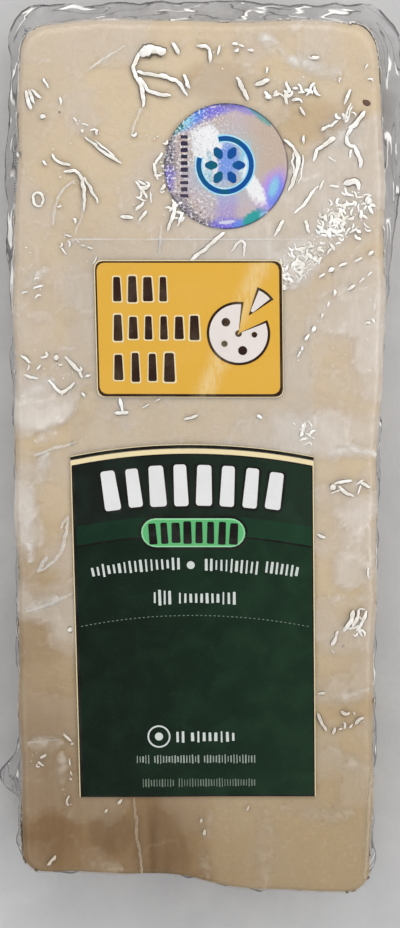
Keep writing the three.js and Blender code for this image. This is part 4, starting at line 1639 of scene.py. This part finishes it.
def printed_dot(name, centre, inner, outer, ink, level=4):
    """A round dot, or a ring, printed on the label."""
    if inner:
        u, v, k, faces = sector(centre, inner, outer, 0, 359.9, 0.3)
    else:
        points, faces = closed_disc(outer, 2, 24)
        u, v, k = points[:, 0] + centre[0], points[:, 1] + centre[1], points[:, 2]
    x, y = on_label(u, v)
    return add_piece(name, lay(x, y, k * INK_THICKNESS, level), faces, ink)


PILL = (0.0, -1.55)
PILL_HALF_LENGTH, PILL_HALF_HEIGHT = 9.65, 2.95


def build_pill(inks):
    """The bright pill that sits on the field's dark rule."""
    pieces = []
    rings = ((-0.12, 3, "black"), (0.32, 4, "bright_edge"), (0.6, 5, "bright"))
    for n, (inset, level, ink) in enumerate(rings):
        half_length, half_height = PILL_HALF_LENGTH - inset, PILL_HALF_HEIGHT - inset
        shape = (PILL, half_length, half_height, half_height)
        pieces.append(rounded(f"pill_{n + 1}", *shape, level, inks[ink], 0.8))
    return pieces


BADGE = (-0.1, 35.0)
BADGE_HALF_WIDTH, BADGE_HALF_HEIGHT, BADGE_CORNER = 16.35, 11.9, 1.3

# Its layers: a name, how far each is off its place to the right and down, how much it
# stands out past the badge's size, its ink and its level.
BADGE_LAYERS = (
    ("badge_edge", 0.03, 0.2, "cream", 0),
    ("badge_outline", 0.06, 0.05, "brown", 1),
    ("badge_face", -0.04, -0.34, "yellow", 2),
)

# Its rows of bars: the middle, how many there are, their pitch and their height.
BADGE_BARS = (
    ((-8.6, 42.0), 4, 2.7, 4.4),
    ((-5.9, 35.2), 6, 2.7, 4.2),
    ((-8.2, 28.2), 4, 3.0, 4.9),
)
BAR_WIDTH = 0.58  # as a share of the pitch
HALO = 0.55  # how much wider and taller a bar's halo is

# Its cut round of cheese: a name, ink, middle, inner and outer radius, the angles where
# the slice starts and ends, and the level. Then the holes: a middle and a radius.
WHEEL, WEDGE = (8.6, 34.2), (10.4, 37.3)
SLICES = (
    ("round_outline", "brown", WHEEL, 0.15, 5.6, 80, 385, 3),
    ("wedge_outline", "brown", WEDGE, 0.15, 5.3, 33, 72, 3),
    ("round_of_cheese", "chalk", WHEEL, 0.6, 5.15, 84, 381, 4),
    ("wedge_of_cheese", "chalk", WEDGE, 0.95, 4.85, 38, 67, 4),
)
HOLES = ((6.4, 36.2, 0.75), (6.1, 32.4, 0.55), (9.3, 31.2, 0.8), (11.4, 34.0, 0.5))


def build_badge(tree, inks):
    """The yellow badge: a pale edge, a dark outline, bars, and a cut round of cheese."""
    pieces = []
    for name, shift, grow, ink, level in BADGE_LAYERS:
        middle = (BADGE[0] + shift, BADGE[1] - shift)
        shape = (middle, BADGE_HALF_WIDTH + grow, BADGE_HALF_HEIGHT + grow, BADGE_CORNER)
        pieces.append(rounded(name, *shape, level, inks[ink]))
    for n, (place, count, pitch, height) in enumerate(BADGE_BARS):
        for part, grow, ink, level in (("halo", HALO, "cream", 3), ("bars", 0.0, "brown", 4)):
            width = pitch * BAR_WIDTH + grow
            sizes = stroke_sizes(count, pitch, width, height + grow, 0.8, 0.1, 50 + n)
            name = f"badge_{part}_{n + 1}"
            pieces.append(printed_row(tree, name, inks[ink], place, level, sizes))
    for name, ink, middle, inner, outer, start, end, level in SLICES:
        u, v, k, faces = sector(middle, inner, outer, start, end)
        points = lay(*on_label(u, v), k * INK_THICKNESS, level)
        pieces.append(add_piece(name, points, faces, inks[ink]))
    parts = []
    for u, v, radius in HOLES:
        points, faces = closed_disc(radius, 2, 20)
        x, y = on_label(points[:, 0] + u, points[:, 1] + v)
        parts.append((lay(x, y, points[:, 2] * INK_THICKNESS, 5), faces))
    return [*pieces, joined("cheese_holes", parts, inks["brown"])]


def build_disc(material):
    """The round foil sticker."""
    points, faces = closed_disc(DISC_RADIUS, 16, 96)
    x, y = points[:, 0] + DISC_CENTRE[0], points[:, 1] + DISC_CENTRE[1]
    return add_piece("foil_disc", lay(x, y, points[:, 2] * SHEET_THICKNESS), faces, material)


def build_disc_print(petals, marks, fringe_ink, ring_ink, tick_ink):
    """The sticker's ring with its pale fringe, rosette and column of ticks."""
    cx, cy = DISC_CENTRE[0] - 0.2, DISC_CENTRE[1] + 0.2
    rings = (
        ("foil_fringe", 3.9, 5.25, -197, 105, fringe_ink, 0),
        ("foil_ring", 4.15, 5.0, -196, 104, ring_ink, 1),
    )
    pieces = []
    for name, inner, outer, start, end, ink, level in rings:
        u, v, k, faces = sector((cx, cy), inner, outer, start, end, 0.5)
        pieces.append(add_piece(name, lay(u, v, k * INK_THICKNESS, level), faces, ink))
    mesh = petals.run(ring_ink)
    points = vertices(mesh)
    move_vertices(mesh, lay(points[:, 0] + cx, points[:, 1] + cy, points[:, 2], 0))
    pieces.append(add_mesh("foil_rosette", mesh, ring_ink, smooth=False))
    mesh = marks.run(tick_ink, **stroke_sizes(10, 1.12, 0.62, 1.25, 0.9, 0.16, 71))
    points = vertices(mesh)
    x, y = DISC_CENTRE[0] - 7.3 - points[:, 1], DISC_CENTRE[1] + points[:, 0]
    move_vertices(mesh, lay(x, y, points[:, 2], 0))
    pieces.append(add_mesh("foil_ticks", mesh, tick_ink, smooth=False))
    return pieces


# ------------------------ settings


def colour(name, description, red, green, blue):
    """A colour setting, from the numbers of 0 to 255 that a screen shows."""
    default = display(red, green, blue)
    about = {"name": name, "description": description, "default": default}
    return FloatVectorProperty(**about, subtype="COLOR", size=3, min=0, max=1)


def length(name, description, default):
    """A length setting, from millimetres."""
    about = {"name": name, "description": description, "default": default * MM}
    return FloatProperty(**about, precision=5, unit="LENGTH")


def amount(name, description, default):
    """A setting that is a plain number."""
    return FloatProperty(name=name, description=description, default=default)


class CheeseSettings(PropertyGroup):
    # Near and far paste: partly the cheese's own tone, partly painted light falling off towards the
    # near end.
    paste: colour("Near paste", "The cheese towards the near end", 176, 154, 120)
    pale: colour("Far paste", "The paler cheese towards the far end", 209, 190, 161)
    rind: colour("Veins", "The darker veins and grain", 176, 148, 108)
    crystal: colour("Crystals", "The small pale crystals", 236, 222, 196)
    fleck: colour("Flecks", "The few dark flecks", 78, 30, 6)
    # Painted shade: the darker paste of the near left corner, and its darkest spots.
    aged: colour("Aged paste", "The darker paste at the near left corner", 106, 68, 24)
    bruise: colour("Bruise", "The darkest of the aged paste", 60, 36, 11)


class FilmSettings(PropertyGroup):
    # The milky colour: partly the film standing off, partly painted reflection.
    cloud: colour("Cloud", "The film where it stands off the cheese", 230, 220, 209)
    # Painted shade: the milky colour darkens towards the near end.
    near_cloud: colour("Near cloud", "The same, towards the near end", 208, 189, 161)
    margin: colour("Margin", "The grey cast of the seal margin", 156, 154, 154)
    # Painted shade: the dark rim and shadow lines of the margin; also the real crimps of the seal.
    rim: colour("Rim", "The cut rim of the seal margin", 84, 82, 84)
    # Painted highlights: the white of folds, creases and margin glints, and the painted shade of
    # their flanks.
    glint: colour("Glint", "Folds and creases that catch the light", 253, 251, 247)
    cream: colour("Cream", "The duller parts of a fold", 240, 230, 212)
    flank_shade: colour("Flank", "The dark edges of a fold", 104, 92, 74)
    gloss: amount("Gloss", "How strongly it mirrors", 0.04)
    fold_gloss: amount("Fold gloss", "The same, on folds", 0.06)
    haze: amount("Haze", "How milky its pockets are", 0.92)
    swell_haze: amount("Swell haze", "The same, of soft folds", 0.42)
    margin_haze: amount("Margin haze", "The same, of one layer", 0.2)
    flank: length("Fold flank", "Half the width of a fold", 0.45)
    rise: length("Fold height", "How high a fold stands", 0.22)
    crease_rise: length("Crease height", "How high a fine crease stands", 0.1)
    swell_rise: length("Swell height", "How high a broad, soft fold stands", 0.05)
    seed: IntProperty(name="Seed", description="Another draw of the small folds", default=7)


class LabelSettings(PropertyGroup):
    sheet: colour("Clear film", "The label's unprinted film", 240, 240, 238)
    green: colour("Field", "The lower part of the field", 7, 24, 13)
    middle: colour("Middle zone", "The middle of the field", 9, 27, 16)
    band: colour("Band", "The brighter band under the title", 15, 42, 27)
    title: colour("Title zone", "The top of the field", 18, 24, 20)
    worn: colour("Wear", "The pale wear of ink", 120, 128, 116)
    # Painted sheen: what the green fields lighten to on the right.
    lit: colour("Lit green", "What the green fields turn to on the right", 66, 116, 78)
    cream: colour("Edge", "The cream edges", 232, 214, 170)
    black: colour("Rule", "Black ink", 20, 18, 16)
    white: colour("White", "The title marks", 222, 222, 220)
    pale: colour("Small marks", "The small pale marks", 205, 210, 205)
    faint: colour("Faint marks", "The fainter marks", 150, 160, 150)
    dim: colour("Dim marks", "The faintest marks", 108, 120, 106)
    bright: colour("Pill", "The pill's face", 92, 176, 112)
    bright_edge: colour("Pill edge", "The pill's paler edge", 146, 210, 158)
    yellow: colour("Badge", "The badge's face", 218, 168, 64)
    brown: colour("Badge outline", "The badge's dark ink", 46, 26, 18)
    chalk: colour("Chalk", "The badge's cut round of cheese", 224, 214, 208)
    sheet_gloss: amount("Gloss", "How strongly it mirrors", 0.02)


class StickerSettings(PropertyGroup):
    # Apart from the silver base and the print, these colours paint the foil's sheen and glare.
    silver: colour("Silver", "The foil's base", 206, 190, 196)
    warm: colour("Warm silver", "Its right side", 206, 184, 166)
    slate: colour("Slate", "Its dark rim and specks", 112, 108, 124)
    violet: colour("Violet", "The far and near ends of its rim", 130, 118, 228)
    lilac: colour("Lilac", "The soft beam below the ring", 178, 158, 216)
    blue: colour("Blue", "The bright patches of its rim", 96, 146, 240)
    green: colour("Green", "The green ends of its rim", 48, 166, 164)
    orchid: colour("Orchid", "The bright patch on its right", 188, 150, 244)
    glare: colour("Glare", "The white glare across it", 250, 249, 250)
    cyan: colour("Pale cyan", "The fringe of the ring and the foil inside it", 150, 218, 240)
    ring: colour("Ring", "The printed ring", 12, 74, 146)
    ring_green: colour("Ring green", "What the ring's ink turns to in places", 4, 96, 92)
    tick: colour("Ticks", "The dark ticks", 48, 44, 66)


class StudioSettings(PropertyGroup):
    floor: colour("Floor", "The table top", 205, 204, 203)
    floor_shade: colour("Floor mottle", "Its darker mottle", 188, 187, 187)
    lamps: IntProperty(name="Lamps", description="How many stand in the ring", default=8, min=3)
    power: amount("Ring power", "Of each lamp, in watts", 0.97)
    key_power: amount("Key power", "Of the far lamps, in watts", 0.3)
    sky: amount("Sky", "Strength of the even light", 0.32)


class PackSettings(PropertyGroup):
    cheese: PointerProperty(type=CheeseSettings)
    film: PointerProperty(type=FilmSettings)
    label: PointerProperty(type=LabelSettings)
    sticker: PointerProperty(type=StickerSettings)
    studio: PointerProperty(type=StudioSettings)


# ------------------------ operators


# The floor, in millimetres: half its side, its thickness, and its gap under the pack.
FLOOR_HALF, FLOOR_THICKNESS, FLOOR_GAP = 1500.0, 20.0, 0.05

# The lamps, in metres: how far the ring is from the pack, its lean from straight above,
# the width and height of each lamp, and where the far lamps stand and point.
RING_DISTANCE, RING_LEAN = 0.9, math.radians(55)
RING_LAMP, FAR_LAMP = (0.55, 0.36), (0.3, 0.24)
FAR_PLACES, FAR_AIM = ((-0.13, 0.33, 0.31), (0.15, 0.3, 0.3), (0.33, 0.02, 0.34)), (0, 0.06, 0)
SKY_COLOUR = (0.93, 0.96, 1, 1)

# The camera: its lens and sensor in millimetres, its place in metres, and its lean.
LENS, SENSOR_WIDTH = 66.2, 36
CAMERA_PLACE, CAMERA_LEAN = (0, 0.047, 0.32065), math.radians(-8.5)


class CHEESE_OT_studio(Operator):
    """Make the floor, the ring of lamps, the far lamps and the camera"""

    bl_idname = "cheese.studio"
    bl_label = "Studio"

    def execute(self, context):
        look = context.scene.cheese_pack.studio
        build_floor(look)
        build_lamps(look)
        build_camera(context.scene)
        return {"FINISHED"}


def build_floor(look):
    """A wide plate whose top lies just under the pack."""
    (i, j, k), faces = closed_box(2, 2, 1)
    z = FLOOR_THICKNESS * (k - 1) - FLOOR_GAP
    points = np.stack([FLOOR_HALF * (i - 1), FLOOR_HALF * (j - 1), z], 1)
    add_piece("table_top", points, faces, studio_floor(look), smooth=False)


def add_lamp(name, place, aim, size, power):
    """A rectangular lamp of this width and height, facing its aim, with its width level."""
    lamp = bpy.data.lights.new(name, "AREA")
    lamp.shape, lamp.energy = "RECTANGLE", power
    lamp.size, lamp.size_y = size
    lantern = bpy.data.objects.new(name, lamp)
    lantern.location = place
    lantern.rotation_euler = (aim - place).to_track_quat("-Z", "Y").to_euler()
    lantern.visible_camera = False
    bpy.context.scene.collection.objects.link(lantern)


def build_lamps(look):
    """Long lamps in a ring, low enough that only tilted film mirrors them upwards."""
    aim = Vector((0, 0, BLOCK_HEIGHT * MM))
    for n in range(look.lamps):
        turn = 2 * math.pi * (n + 0.5) / look.lamps
        out = Vector((math.cos(turn), math.sin(turn), 0)) * math.sin(RING_LEAN)
        place = aim + (out + Vector((0, 0, math.cos(RING_LEAN)))) * RING_DISTANCE
        add_lamp(f"ring_lamp_{n + 1}", place, aim, RING_LAMP, look.power)
    for n, place in enumerate(FAR_PLACES):
        add_lamp(f"far_lamp_{n + 1}", Vector(place), Vector(FAR_AIM), FAR_LAMP, look.key_power)
    world = bpy.data.worlds.new("studio")
    world.use_nodes = True
    even = world.node_tree.nodes["Background"]
    even.inputs["Color"].default_value = SKY_COLOUR
    even.inputs["Strength"].default_value = look.sky
    bpy.context.scene.world = world


def build_camera(scene):
    """A camera over the pack, leaning a little towards the near end."""
    camera = bpy.data.cameras.new("camera")
    camera.lens, camera.sensor_width = LENS, SENSOR_WIDTH
    holder = bpy.data.objects.new("camera", camera)
    holder.location, holder.rotation_euler = CAMERA_PLACE, (CAMERA_LEAN, 0, 0)
    scene.collection.objects.link(holder)
    scene.camera = holder
    scene.view_settings.view_transform = "Standard"


class CHEESE_OT_cheese(Operator):
    """Make the block of cheese and its few dark flecks"""

    bl_idname = "cheese.cheese"
    bl_label = "Cheese"

    def execute(self, context):
        look = context.scene.cheese_pack.cheese
        for piece in (build_cheese(cheese_paste(look)), build_flecks(fleck_crust(look))):
            settle(piece, "vacuum_pack")
        return {"FINISHED"}


class CHEESE_OT_film(Operator):
    """Make the clear film with its seal margin"""

    bl_idname = "cheese.film"
    bl_label = "Film"

    def execute(self, context):
        look = context.scene.cheese_pack.film
        settle(build_film(clear_film(look)), "vacuum_pack")
        return {"FINISHED"}


# How wide the flanks of creases and swells are, as a share of a fold's, and the shape of
# the swells: rounder and straighter than a fold.
CREASE_FLANK, SWELL_FLANK = 0.8, 3.6
SWELL_SHAPE = {"Crown": 0.1, "Step": 1.1 * MM, "Wander": 0.05 * MM}
SWELL_CLEARANCE = 2.2  # from the label and the round sticker


class CHEESE_OT_folds(Operator):
    """Make the folds, creases and swells of film on the top face and the four sides"""

    bl_idname = "cheese.folds"
    bl_label = "Film folds"

    def execute(self, context):
        look = context.scene.cheese_pack.film
        tree = fold_tree()
        white = folded_film("folded_film", look, 0.45, 0.97, 0.72, 0.16)
        faint = folded_film("creased_film", look, 0.0, 0.42, 0.55, 0.42)
        soft = swelled_film(look)
        lines = fold_lines(look.seed)
        creases = [(width, *rounded_line(stops)) for width, *stops in CREASES]
        swells = [part for line in SWELLS for part in bare_parts(line, SWELL_CLEARANCE)]
        fold = {"Flank": look.flank, "Rise": look.rise}
        crease = {"Flank": look.flank * CREASE_FLANK, "Rise": look.crease_rise}
        swell = {"Flank": look.flank * SWELL_FLANK, "Rise": look.swell_rise, **SWELL_SHAPE}
        pieces = (
            build_folds("film_folds", lines, tree, white, **fold),
            build_folds("film_creases", creases, tree, faint, **crease),
            build_folds("film_swells", swells, tree, soft, **swell),
            build_side_folds(bpy.data.objects["clear_film"], tree, white, look),
        )
        for piece in pieces:
            settle(piece, "vacuum_pack")
        return {"FINISHED"}


class CHEESE_OT_label(Operator):
    """Make the clear label with its printed field and badge"""

    bl_idname = "cheese.label"
    bl_label = "Label"

    def execute(self, context):
        look = context.scene.cheese_pack.label
        tree = mark_tree()
        even = ("cream", "black", "white", "pale", "faint", "dim", "bright", "chalk")
        inks = {name: print_ink(f"{name}_ink", getattr(look, name), look.worn) for name in even}
        # The badge's inks carry a painted reflection streak; the greens below a painted sheen on the
        # right.
        for name, streak_glare in (("yellow", 0.45), ("brown", 0.12)):
            ink = getattr(look, name)
            inks[name] = print_ink(f"{name}_ink", ink, look.cream, 0.06, streak_glare=streak_glare)
        for name in ("green", "middle", "band", "title"):
            inks[name] = print_ink(f"{name}_ink", getattr(look, name), look.lit, 0.05, 0.1)
        inks["bright_edge"] = print_ink("bright_edge_ink", look.bright_edge, look.white)
        pieces = [build_sheet(label_film(look))]
        pieces += build_field(inks) + build_field_marks(tree, inks)
        pieces += build_pill(inks) + build_badge(tree, inks)
        for piece in pieces:
            settle(piece, "front_label")
        return {"FINISHED"}


class CHEESE_OT_sticker(Operator):
    """Make the round foil sticker"""

    bl_idname = "cheese.sticker"
    bl_label = "Foil sticker"

    def execute(self, context):
        look = context.scene.cheese_pack.sticker
        fringe = print_ink("fringe_ink", look.cyan, look.glare, 0.8)
        ring = print_ink("ring_ink", look.ring, look.ring_green, 1.3)
        tick = print_ink("tick_ink", look.tick, look.silver)
        pieces = [build_disc(diffraction_foil(look))]
        pieces += build_disc_print(petal_tree(), mark_tree(), fringe, ring, tick)
        for piece in pieces:
            settle(piece, "hologram_sticker")
        return {"FINISHED"}


OPERATORS = (
    CHEESE_OT_studio,
    CHEESE_OT_cheese,
    CHEESE_OT_film,
    CHEESE_OT_folds,
    CHEESE_OT_label,
    CHEESE_OT_sticker,
)


class CHEESE_PT_pack(Panel):
    """Lists the pack's pieces and their settings"""

    bl_idname = "CHEESE_PT_pack"
    bl_label = "Cheese pack"
    bl_space_type = "VIEW_3D"
    bl_region_type = "UI"
    bl_category = "Cheese"

    def draw(self, context):
        for operator in OPERATORS:
            self.layout.operator(operator.bl_idname)
        pack = context.scene.cheese_pack
        for group in (pack.cheese, pack.film, pack.label, pack.sticker, pack.studio):
            box = self.layout.box()
            for name in group.__annotations__:
                box.prop(group, name)


GROUPS = (CheeseSettings, FilmSettings, LabelSettings, StickerSettings, StudioSettings)
CLASSES = (*GROUPS, PackSettings, *OPERATORS, CHEESE_PT_pack)


def register():
    for cls in CLASSES:
        bpy.utils.register_class(cls)
    bpy.types.Scene.cheese_pack = PointerProperty(type=PackSettings)


def unregister():
    del bpy.types.Scene.cheese_pack
    for cls in reversed(CLASSES):
        bpy.utils.unregister_class(cls)


def main():
    register()
    for operator in OPERATORS:
        family, name = operator.bl_idname.split(".")
        getattr(getattr(bpy.ops, family), name)()


if __name__ == "__main__":
    main()
